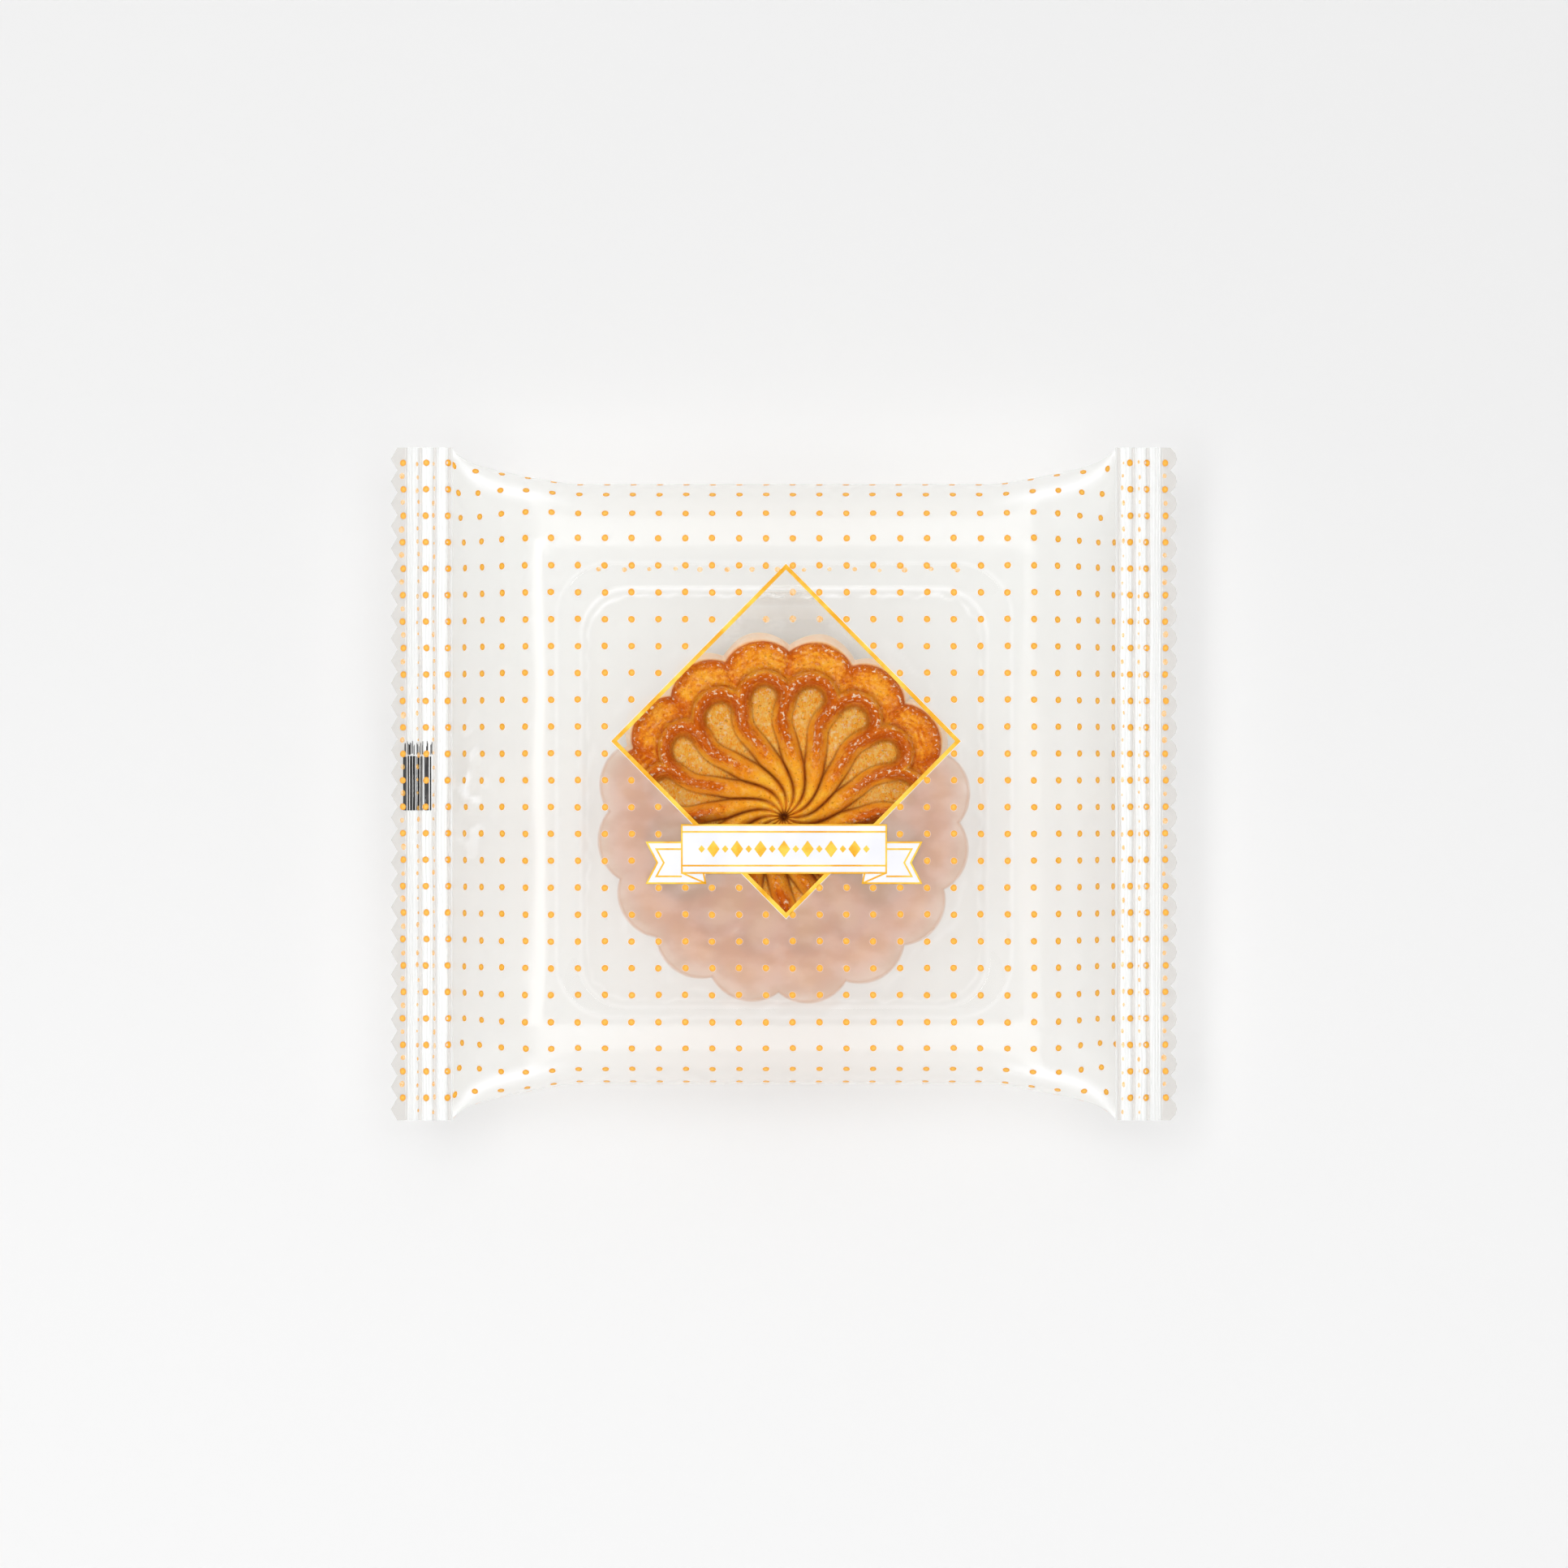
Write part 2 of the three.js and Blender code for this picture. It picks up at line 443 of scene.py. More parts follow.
def new_piece(name, points, faces, finish, slot, sharp=60):
    """A piece of the object from points in millimetres and arrays of triangles or quads."""
    mesh = bpy.data.meshes.new(name)
    corners = np.concatenate([np.asarray(group).ravel() for group in faces])
    sizes = np.concatenate([np.full(len(group), group.shape[1]) for group in faces])
    starts = np.concatenate([[0], np.cumsum(sizes)[:-1]])
    mesh.vertices.add(len(points))
    mesh.vertices.foreach_set("co", (np.asarray(points, float) / 1000).ravel())
    mesh.loops.add(len(corners))
    mesh.loops.foreach_set("vertex_index", corners.astype(np.int32))
    mesh.polygons.add(len(sizes))
    mesh.polygons.foreach_set("loop_start", starts.astype(np.int32))
    mesh.update(calc_edges=True)
    mesh.shade_smooth()
    mesh.set_sharp_from_angle(angle=math.radians(sharp))
    mesh.materials.append(finish)
    piece = bpy.data.objects.new(name, mesh)
    bpy.context.scene.collection.objects.link(piece)
    if slot:
        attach(piece, "root")
        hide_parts("film_bag")
    return piece


def add_numbers(piece, name, values):
    """One number for each point of a piece, for its finish to read."""
    attribute = piece.data.attributes.new(name, "FLOAT", "POINT")
    attribute.data.foreach_set("value", np.asarray(values, np.float32).ravel())


def grid_faces(rows, columns, start=0, close_rows=False, close_columns=False):
    """The quads of a grid of points, facing the side from which rows then columns turn anticlockwise."""
    index = start + np.arange(rows * columns).reshape(rows, columns)
    if close_rows:
        index = np.concatenate([index, index[:1]])
    if close_columns:
        index = np.concatenate([index, index[:, :1]], axis=1)
    quads = np.stack([index[:-1, :-1], index[1:, :-1], index[1:, 1:], index[:-1, 1:]], -1)
    return quads.reshape(-1, 4)


class Shapes:
    """Closed thin shapes gathered into one mesh."""

    def __init__(self):
        self.points = []
        self.faces = []
        self.numbers = []
        self.count = 0

    def add(self, points, faces, number):
        self.points.append(points)
        self.faces.extend(group + self.count for group in faces)
        self.numbers.append(np.broadcast_to(number, (len(points),)))
        self.count += len(points)

    def add_slab(self, upper, lower, number=0.0):
        """A closed slab between two grids of points alike in size."""
        rows, columns = upper.shape[:2]
        size = rows * columns
        edge = np.concatenate([
            np.arange(columns),
            columns * np.arange(1, rows) + columns - 1,
            size - 1 - np.arange(1, columns),
            columns * np.arange(rows - 2, 0, -1),
        ])
        after = np.roll(edge, -1)
        rim = np.stack([edge, after, after + size, edge + size], -1)
        faces = [grid_faces(rows, columns), grid_faces(rows, columns, size)[:, ::-1], rim]
        self.add(np.concatenate([upper.reshape(-1, 3), lower.reshape(-1, 3)]), faces, number)

    def add_disc(self, upper, lower, number):
        """A closed disc between two fans: each has its middle first, then its rim's points in turn."""
        corners = len(upper) - 1
        rim = 1 + np.arange(corners)
        after = np.roll(rim, -1)
        size = corners + 1
        fan = np.stack([np.zeros(corners, int), rim, after], -1)
        side = np.stack([rim, rim + size, after + size, after], -1)
        self.add(np.concatenate([upper, lower]), [fan, fan[:, ::-1] + size, side], number)

    def piece(self, name, finish, slot, number_name=None):
        made = new_piece(name, np.concatenate(self.points), self.faces, finish, slot)
        if number_name:
            add_numbers(made, number_name, np.concatenate(self.numbers))


def subdivided(corners, closed, step=1.2):
    """The places along a run of straight lines, and how far to push each for a stroke of width 1."""
    corners = np.asarray(corners, float)
    ahead = np.roll(corners, -1, 0) - corners
    length = np.linalg.norm(ahead, axis=1)
    side = np.stack([-ahead[:, 1], ahead[:, 0]], -1) / length[:, None]
    before = np.roll(side, 1, 0)
    if not closed:
        before[0] = side[0]
        side[-1] = before[-1]
    push = (side + before) / (1 + (side * before).sum(1, keepdims=True))
    last = len(corners) - 1
    places = []
    pushes = []
    for at in range(len(corners) if closed else last):
        parts = max(1, int(math.ceil(length[at] / step)))
        share = (np.arange(parts) / parts)[:, None]
        following = (at + 1) % len(corners)
        places.append(corners[at] * (1 - share) + corners[following] * share)
        pushes.append(push[at] * (1 - share) + push[following] * share)
    end = 0 if closed else last
    places.append(corners[end][None])
    pushes.append(push[end][None])
    return np.concatenate(places), np.concatenate(pushes)


def stroke(shapes, corners, width, low, closed=True, shift=0.0):
    """A line printed on the film tube along a run of straight lines."""
    places, push = subdivided(corners, closed)
    across = shift + width * np.array([-0.5, 0.5])
    a = (places[:, None, 0] + push[:, None, 0] * across)[:, ::-1]
    b = (places[:, None, 1] + push[:, None, 1] * across)[:, ::-1]
    shapes.add_slab(TUBE.lifted(a, b, low + PRINT_THICKNESS), TUBE.lifted(a, b, low))


def patch(shapes, left, right, bottom, top, low, step=1.2):
    """A field printed on the film tube between two edges, each given by its places across at the
    bottom, middle and top."""
    rows = 2 * max(1, int(math.ceil((top - bottom) / step / 2))) + 1
    heights = np.linspace(bottom, top, rows)
    levels = (bottom, (bottom + top) / 2, top)
    from_x = np.interp(heights, levels, left)
    to_x = np.interp(heights, levels, right)
    columns = max(2, int(np.abs(to_x - from_x).max() / step) + 1)
    share = np.linspace(0, 1, columns)[:, None]
    a = from_x * (1 - share) + to_x * share
    b = np.broadcast_to(heights, a.shape)
    shapes.add_slab(TUBE.lifted(a, b, low + PRINT_THICKNESS), TUBE.lifted(a, b, low))


# Materials.


def operator(operation, swapped=False):
    """What Python's operator does with a value: a Math node, with the two in their own order or swapped."""
    def worked_out(self, other):
        values = (other, self) if swapped else (self, other)
        return self.finish.maths(operation, *values)
    return worked_out


class Value:
    """A number that changes over a surface: a node's output that Python's operators work on."""

    def __init__(self, finish, socket):
        self.finish = finish
        self.socket = socket

    __add__ = operator("ADD")
    __radd__ = operator("ADD", swapped=True)
    __sub__ = operator("SUBTRACT")
    __rsub__ = operator("SUBTRACT", swapped=True)
    __mul__ = operator("MULTIPLY")
    __rmul__ = operator("MULTIPLY", swapped=True)
    __truediv__ = operator("DIVIDE")
    __rtruediv__ = operator("DIVIDE", swapped=True)
    __pow__ = operator("POWER")
    __rpow__ = operator("POWER", swapped=True)

    def __abs__(self):
        return self.finish.maths("ABSOLUTE", self)

    def clipped(self):
        """The number kept between 0 and 1."""
        return self.finish.maths("ADD", self, 0.0, use_clamp=True)

    def over(self, low, high):
        """0 up to low and 1 from high on, with a smooth rise between."""
        settings = {"interpolation_type": "SMOOTHSTEP"}
        return self.finish.node("ShaderNodeMapRange", settings, {0: self, 1: low, 2: high})


def colour(red, green, blue):
    """A colour seen as these three numbers up to 255, as light."""
    seen = np.array([red, green, blue]) / 255
    light = np.where(seen <= 0.04045, seen / 12.92, ((seen + 0.055) / 1.055) ** 2.4)
    return (*[float(part) for part in light], 1.0)


WHITE = (1.0, 1.0, 1.0, 1.0)


class Finish:
    """A material or a world made of nodes."""

    def __init__(self, name, kept_in=bpy.data.materials, ends_in="ShaderNodeOutputMaterial"):
        self.made = kept_in.new(name)
        self.made.use_nodes = True
        self.tree = self.made.node_tree
        self.tree.nodes.clear()
        self.ends_in = ends_in

    def node(self, kind, settings=None, sockets=None, out=0):
        """A node of a kind: its settings first, then its sockets' values or links, by name or place."""
        made = self.tree.nodes.new(kind)
        for name, value in (settings or {}).items():
            setattr(made, name, value)
        for name, value in (sockets or {}).items():
            if isinstance(value, Value):
                self.tree.links.new(value.socket, made.inputs[name])
            else:
                made.inputs[name].default_value = value
        return Value(self, made.outputs[out]) if len(made.outputs) else None

    def maths(self, operation, *values, use_clamp=False):
        settings = {"operation": operation, "use_clamp": use_clamp}
        return self.node("ShaderNodeMath", settings, dict(enumerate(values)))

    def place(self):
        """The place on the object, in metres."""
        return self.node("ShaderNodeTexCoord", out=3)

    def along(self, axis):
        """The place along one of the object's axes, in millimetres."""
        return self.node("ShaderNodeSeparateXYZ", sockets={0: self.place()}, out=axis) * 1000

    def number(self, name):
        """The numbers that a piece holds under a name."""
        return self.node("ShaderNodeAttribute", {"attribute_name": name}, out=2)

    def noise(self, scale, detail=3.0, turn=0.0, rough=0.5):
        """Uneven values about 0.5, with marks of the size 1 / scale in millimetres. They are turned
        about Z, and stretched where the scale has a number for each axis."""
        stretch = [1000 * part for part in np.broadcast_to(scale, 3)]
        turned = {0: self.place(), 2: (0, 0, math.radians(turn)), 3: stretch}
        place = self.node("ShaderNodeMapping", sockets=turned)
        sockets = {"Vector": place, "Scale": 1.0, "Detail": detail, "Roughness": rough}
        return self.node("ShaderNodeTexNoise", sockets=sockets)

    def mix(self, share, first, second):
        """A colour between two."""
        return self.node("ShaderNodeMix", {"data_type": "RGBA"}, {0: share, 6: first, 7: second}, out=2)

    def bump(self, height, strength, distance):
        """A normal from a height. The distance is in millimetres."""
        sockets = {"Strength": strength, "Distance": distance / 1000, "Height": height}
        return self.node("ShaderNodeBump", sockets=sockets)

    def shader(self, **sockets):
        named = {name.replace("_", " "): value for name, value in sockets.items()}
        return self.node("ShaderNodeBsdfPrincipled", sockets=named)

    def blend(self, share, first, second):
        """A surface between two."""
        return self.node("ShaderNodeMixShader", sockets={0: share, 1: first, 2: second})

    def clear(self):
        return self.node("ShaderNodeBsdfTransparent", sockets={0: WHITE})

    def slant(self):
        """0 where a face is seen head on and 1 where it is seen edge on, alike from both sides."""
        return self.node("ShaderNodeLayerWeight", sockets={0: 0.5}, out=1)

    def glazed(self, surface, head_on, rough):
        """A surface under a shine that mirrors little head on and about half at a glancing angle."""
        gloss = self.node("ShaderNodeBsdfGlossy", sockets={"Color": WHITE, "Roughness": rough})
        return self.blend(self.slant() ** 5 * 0.45 + head_on, surface, gloss)

    def done(self, surface):
        """Shows a shader as the surface, and gives the finished material or world."""
        self.node(self.ends_in, sockets={0: surface})
        return self.made

    def done_clear(self, surface, lets_by):
        """The same for a clear piece, which lets a share of the lamps' light straight through."""
        from_lamp = self.node("ShaderNodeLightPath", out=1)
        return self.done(self.blend(from_lamp * lets_by, surface, self.clear()))


def in_window(finish):
    """1 inside the film's clear window, on the printed face alone."""
    x, y = (abs(finish.along(axis) - WINDOW_MIDDLE[axis]) / WINDOW_HALF[axis] for axis in (0, 1))
    return (1 - (x + y).over(0.997, 1.003)) * finish.along(2).over(24, 25)


def on_cake(finish):
    """How far inside the cake's scalloped outline a place on the printed face lies, in millimetres."""
    x, y = (finish.along(axis) - CAKE_MIDDLE[axis] for axis in (0, 1))
    half = math.pi / PETAL_COUNT
    turn = finish.maths("ARCTAN2", x, y) - math.radians(VALLEY_ANGLE) - half
    away = finish.maths("WRAP", turn, half, -half)
    across = finish.maths("SINE", away) * LOBE_CENTRE
    outline = finish.maths("COSINE", away) * LOBE_CENTRE + (LOBE_RADIUS ** 2 - across * across) ** 0.5
    return outline + SIDE_BULGE - (x * x + y * y) ** 0.5


def film_finish():
    """Milky film: white that the light meets, a veil that blurs what lies behind, the rest clear, and
    a shine over all of it. It is painted white along its creases, as painted highlights of the folds,
    the tray's edges, the cling round the cake and the crinkles. Where it lies tight on the cake's lower
    half it takes on a tinge of crust, with a thin darker rim. It scatters light forward, so more of
    the lamps' light gets through than the eye sees through."""
    finish = Finish("milky film")
    window = in_window(finish)
    crease_highlight = finish.number("crease_highlight")
    inside = on_cake(finish)
    printed = finish.along(2).over(15.2, 15.8)
    tight = printed * (1 - finish.along(1).over(5, 10))
    lies = inside.over(-0.1, 0.3) * tight
    rim = (inside.over(-0.4, 0.0) - inside.over(0.2, 0.7)) * tight
    mottled = finish.noise((0.13, 0.2, 0.2), turn=30).over(0.36, 0.62)
    tinge = finish.mix(mottled, colour(224, 206, 194), colour(208, 186, 170))
    # Painted light: the far layer under the pack is painted whiter than the printed face, to make up for
    # the shade it lies in.
    plain = finish.mix(printed, colour(249, 249, 247), colour(228, 229, 227))
    edged = finish.mix(rim * 0.7, finish.mix(lies, plain, tinge), colour(204, 162, 134))
    # Painted highlights: white along the creases.
    tone = finish.mix(crease_highlight, edged, colour(252, 252, 252))
    body = finish.shader(Base_Color=tone, Roughness=0.4, IOR=1.45)
    haze = finish.node("ShaderNodeBsdfTranslucent", sockets={0: colour(246, 247, 245)})
    milky = finish.blend((1 - crease_highlight) * (VEIL / (MILK + VEIL) + lies * 0.15), body, haze)
    cover = (1 - window) * (MILK + VEIL + lies * 0.17)
    film = finish.blend(cover + crease_highlight * (0.85 - cover), finish.clear(), milky)
    return finish.done_clear(finish.glazed(film, 0.04 - window * 0.025, 0.16), 0.965)


def seal_finish():
    """Two layers pressed together, clearer in the grooves. Painted light: pale where a rib stands up, as a
    painted highlight, and greyer in the grooves, as painted shade.
    """
    finish = Finish("crimped film")
    rib_highlight = finish.number("rib_highlight")
    tone = finish.mix(rib_highlight, colour(216, 213, 209), colour(243, 245, 245))
    body = finish.shader(Base_Color=tone, Roughness=0.3, IOR=1.45)
    film = finish.blend(rib_highlight * 0.3 + 0.55, finish.clear(), body)
    return finish.done_clear(finish.glazed(film, 0.05, 0.1), 0.93)


def tray_finish():
    """Clear plastic, grey where it is seen edge on."""
    finish = Finish("clear tray")
    grey = finish.shader(Base_Color=colour(196, 194, 190), Roughness=0.25)
    wall = finish.blend(finish.slant() ** 12 * 0.7, finish.clear(), grey)
    return finish.done_clear(finish.glazed(wall, 0.02, 0.08), 0.98)


def gold_finish():
    """The dots' gold ink, darker along each dot's rim."""
    finish = Finish("gold dots")
    uneven = finish.noise(1.6, 2.0).over(0.3, 0.7)
    middle = finish.mix(uneven, colour(252, 202, 88), colour(244, 184, 58))
    tone = finish.mix(finish.number("rim") * 0.9, middle, colour(230, 150, 22))
    return finish.done(finish.shader(Base_Color=tone, Roughness=0.45, IOR=1.5))


def line_gold_finish():
    finish = Finish("gold lines")
    uneven = finish.noise(0.16, 4.0, rough=0.6).over(0.35, 0.65)
    tone = finish.mix(uneven, colour(254, 212, 84), colour(236, 168, 26))
    return finish.done(finish.shader(Base_Color=tone, Roughness=0.28, IOR=1.5))


def white_finish():
    finish = Finish("white print")
    uneven = finish.noise(0.1, 2.0).over(0.3, 0.7)
    tone = finish.mix(uneven, colour(240, 240, 243), colour(232, 232, 237))
    return finish.done(finish.shader(Base_Color=tone, Roughness=0.35, IOR=1.45))


def black_finish(name, fresh, worn):
    finish = Finish(name)
    scratches = finish.noise((9.0, 0.5, 1.0)).over(0.45, 0.75)
    tone = finish.mix(scratches, fresh, worn)
    return finish.done(finish.shader(Base_Color=tone, Roughness=0.3))


def ghost_finish():
    """Dots on the far layer of film, seen through the near one, and the faint row over the tray's flange,
    a painted reflection of the printed dots.
    """
    finish = Finish("dots of the far layer")
    uneven = finish.noise(1.2, 2.0).over(0.3, 0.7)
    tone = finish.mix(uneven, colour(250, 200, 100), colour(238, 172, 56))
    body = finish.shader(Base_Color=tone, Roughness=0.4)
    return finish.done_clear(finish.blend(uneven * 0.25 + 0.25, finish.clear(), body), 0.97)


def crust_finish():
    """Egg-washed dough: golden, tan and fibrous in the petals, browned and shiny on the ridges' crests.
    Its grooves take painted shade, and its crests and band painted glints and a painted sheen.
    """
    finish = Finish("baked crust")
    grain = finish.noise(2.2, 6.0, rough=0.65)
    fibre = finish.noise((5.0, 1.6, 2.0), 5.0, turn=24, rough=0.75)
    blotch = finish.noise(0.3, 4.0).over(0.3, 0.7)
    coarse = finish.noise(0.8, 4.0, rough=0.6)
    pores = finish.noise(1.5).over(0.62, 0.7)
    # Painted sheen: pale patches that stand in for the egg wash's highlights, on the dough and on the
    # browned crust.
    painted_sheen = finish.noise(0.9, 4.0, turn=40, rough=0.6).over(0.45, 0.7)
    glint_spots = finish.noise(1.3, turn=15, rough=0.6).over(0.56, 0.64)
    browned = finish.number("browned")
    floor = finish.number("floor")
    groove = finish.number("groove")
    dough = finish.mix(blotch, colour(255, 190, 56), colour(252, 168, 32))
    dough = finish.mix(painted_sheen * 0.4, dough, colour(255, 208, 120))
    tan = finish.mix(fibre.over(0.36, 0.64), colour(252, 146, 14), colour(255, 210, 92))
    tan = finish.mix(coarse.over(0.42, 0.7) * 0.65, tan, colour(255, 218, 128))
    uneven = (grain - 0.5) + (coarse - 0.5) * 1.3
    speckled = browned * 0.95 + uneven * browned.over(0.1, 0.5) * 0.8
    toasted = (speckled + (blotch - 0.5) * 0.25).clipped()
    warm = finish.mix(toasted, finish.mix(floor, dough, tan), colour(238, 132, 28))
    deep = finish.mix((toasted * 1.9 - 1.0).clipped(), warm, colour(204, 92, 4))
    # Painted shade: darker brown in the grooves, under the arches' inner flanks and in the middle pit.
    shaded = finish.mix((groove * (0.6 + grain * 0.6)).clipped(), deep, colour(158, 58, 0))
    pored = finish.mix(pores * 0.5, shaded, colour(160, 78, 6))
    sheened = finish.mix(painted_sheen * (1 - floor) * toasted * 0.15, pored, colour(255, 200, 140))
    # Painted glints: near-white colour where the egg wash shines, on top of the coat's real gloss.
    glint = (glint_spots * finish.number("shine")).clipped()
    top = finish.mix(glint * 0.8, sheened, colour(255, 240, 206))
    # Painted light: the cake's side is painted paler towards +Y, as lit, and darker towards -Y, as shaded.
    pale = finish.mix(blotch, colour(255, 232, 208), colour(255, 222, 192))
    shaded_side = finish.mix(blotch, colour(242, 192, 150), colour(230, 174, 130))
    wall = finish.mix(finish.along(1).over(-2, 9), shaded_side, pale)
    surface = finish.shader(
        Base_Color=finish.mix(finish.number("side"), top, wall),
        Roughness=0.52 - toasted * 0.2 + floor * 0.1,
        Specular_IOR_Level=0.03,
        Normal=finish.bump(grain * 0.8 + fibre * floor * 0.8 + coarse * 0.5, 0.85, 0.6),
        Coat_Weight=glint,
        Coat_Roughness=0.15,
    )
    return finish.done(surface)


def floor_finish():
    finish = Finish("pale floor")
    # Painted shade: the floor is a little darker towards +Y, as light falls off across it.
    tone = finish.mix(finish.along(1).over(-160, 160), colour(232, 232, 232), colour(225, 225, 225))
    return finish.done(finish.shader(Base_Color=tone, Roughness=0.9))


SEAL_FINISH = seal_finish()
GOLD_FINISH = gold_finish()
LINE_GOLD = line_gold_finish()
WHITE_FINISH = white_finish()
BLACK_FINISH = black_finish("black print", colour(6, 5, 6), colour(34, 30, 30))
GREY_FINISH = black_finish("thin black print", colour(30, 28, 30), colour(92, 86, 82))
GHOST_FINISH = ghost_finish()


# The film's pieces.


def make_film_tube():
    """The film from seal to seal, one skin shut at its ends. Its lines lie closest over the tray's rim."""
    over_tray = [np.linspace(0, FINE_FROM, 48)[:-1], np.linspace(FINE_FROM, FINE_TO, 46)[:-1]]
    half = np.concatenate(over_tray + [np.linspace(FINE_TO, SEAL_INNER, 32)])
    places = np.concatenate([-half[:0:-1], half])
    side = np.linspace(FINE_TO, SIDE_REACH, 40)
    under = [np.linspace(0, FINE_UNDER, 30)[1:], np.linspace(FINE_UNDER, SIDE_REACH, 12)[1:]]
    one_side = np.concatenate(over_tray + [side] + [SIDE_REACH + places_under for places_under in under])
    around = np.concatenate([-one_side[:0:-1], one_side[:-1]])
    a, b = grid(places, around)
    index = np.arange(a.size).reshape(a.shape)
    ends = [index[0][None], index[-1, ::-1][None]]
    skin = TUBE.at(a, b)
    faces = [grid_faces(*a.shape, close_columns=True)] + ends
    tube = new_piece("film_tube", skin.reshape(-1, 3), faces, film_finish(), "milky_film")
    # Painted highlights along the creases, on the printed face alone.
    add_numbers(tube, "crease_highlight", film_crease_highlights(skin[..., 0], skin[..., 1]) * (np.abs(b) < SIDE_REACH))


def make_end_seal(name, side):
    """An end seal: two layers pressed into one crimped strip, with its saw-toothed cut. The right
    seal's teeth are the rounder ones."""
    sheet = end_seal(side)
    y = np.linspace(-SIDE_REACH, SIDE_REACH, 4 * TOOTH_COUNT + 1)
    a, b = grid(np.linspace(-0.25, SEAL_WIDTH - TOOTH_DEPTH, 110), y)
    wave = np.abs((np.arange(len(y)) + 2) % 4 - 2) / 2
    if side > 0:
        wave = np.sin(wave * math.pi / 2) ** 0.8
    reach = smooth_step(a, SEAL_WIDTH - 3.4, SEAL_WIDTH - TOOTH_DEPTH) * TOOTH_DEPTH * wave
    upper = sheet.lifted(a + reach, b, side * SEAL_LAYERS / 2)
    lower = sheet.lifted(a + reach, b, -side * SEAL_LAYERS / 2)
    # Painted highlights: fine streaks along the ribs' tops, with each rib's height as its paleness.
    lines = 0.8 + 0.2 * np.sin(a * 2 * math.pi / 0.58 + 0.7 * np.sin(b / 6)) * ripple(a, b * 0.1, 3, 31)
    rib_highlight = np.clip(crimp(a, b) / CRIMP_HEIGHT * lines, 0, 1)
    if side < 0:
        upper, lower, rib_highlight = upper[::-1], lower[::-1], rib_highlight[::-1]
    shapes = Shapes()
    shapes.add_slab(upper, lower, np.tile(rib_highlight.ravel(), 2))
    shapes.piece(name, SEAL_FINISH, "milky_film", "rib_highlight")
    return sheet


def make_back_seal():
    """The seam along the back: its two edges pressed together and folded flat."""
    half = BACK_SEAL_WIDTH / 2
    a, b = grid(np.linspace(-SEAL_INNER + 0.5, SEAL_INNER - 0.5, 160), np.linspace(-half, half, 25))
    on_film = TUBE.at(a, np.sign(b + 1e-9) * (HALF_GIRTH - np.abs(b)))
    down = np.array([0, 0, -1.0])
    wave = np.sin(a * 2.1) ** 2
    lower = on_film + down * (BACK_SEAL_THICKNESS - 0.02 * wave)[..., None]
    shapes = Shapes()
    shapes.add_slab(on_film + 0.03 * down, lower, 0.3 + 0.3 * np.tile(wave.ravel(), 2))
    shapes.piece("back_seal", SEAL_FINISH, "milky_film", "rib_highlight")


# The prints.


def column_places(row):
    """Where the printed columns lie along a row of dots, counted along the film from its middle."""
    line = TUBE.at(TUBE.first, np.full(len(TUBE.first), row))
    length = np.concatenate([[0], np.cumsum(np.linalg.norm(np.diff(line, axis=0), axis=1))])
    length = length - np.interp(0, TUBE.first, length)
    wanted = (np.arange(2, 30) - MIDDLE_COLUMN) * DOT_PITCH
    kept = (wanted > length[0]) & (wanted < length[-1])
    return np.interp(wanted[kept], length, TUBE.first)


def outside_window(x, y, margin):
    """True where a dot lies clear of the window's border by a margin."""
    across = np.abs(x - WINDOW_MIDDLE[0]) / WINDOW_HALF[0]
    along = np.abs(y - WINDOW_MIDDLE[1]) / WINDOW_HALF[1]
    return across + along > 1 + margin / WINDOW_HALF[0]


def outside_ribbon(x, y):
    """True where a dot lies clear of the ribbon."""
    on_panel = abs(x) < RIBBON_HALF + 0.5 and RIBBON_BOTTOM - 0.5 < y < RIBBON_TOP + 0.5
    tail_bottom = RIBBON_BOTTOM - RIBBON_DROP
    on_tail = 15 < abs(x) < TAIL_REACH + 0.3 and tail_bottom - 0.5 < y < TAIL_TOP + 0.5
    return not (on_panel or on_tail)


def add_dot(gold, halo, sheet, a, b, squeeze=1.0, scale=1.0):
    """A gold dot, on its larger white ground where it has one."""
    turn = np.linspace(0, 2 * math.pi, DOT_CORNERS, endpoint=False)
    uneven = 1 + 0.03 * np.sin(2 * turn + rng.uniform(0, 6)) + 0.02 * np.sin(3 * turn + rng.uniform(0, 6))
    rim = np.concatenate([[0.0], np.ones(DOT_CORNERS)])
    layers = ((halo, HALO_RADIUS, PRINT_LIFT), (gold, DOT_RADIUS, PRINT_LIFT + PRINT_THICKNESS))
    for shapes, radius, low in layers:
        if shapes is None:
            continue
        size = radius * uneven * scale
        across = a + np.concatenate([[0], size * np.cos(turn)]) * squeeze
        along = b + np.concatenate([[0], size * np.sin(turn)])
        upper = sheet.lifted(across, along, low + PRINT_THICKNESS)
        shapes.add_disc(upper, sheet.lifted(across, along, low), np.tile(rim, 2))


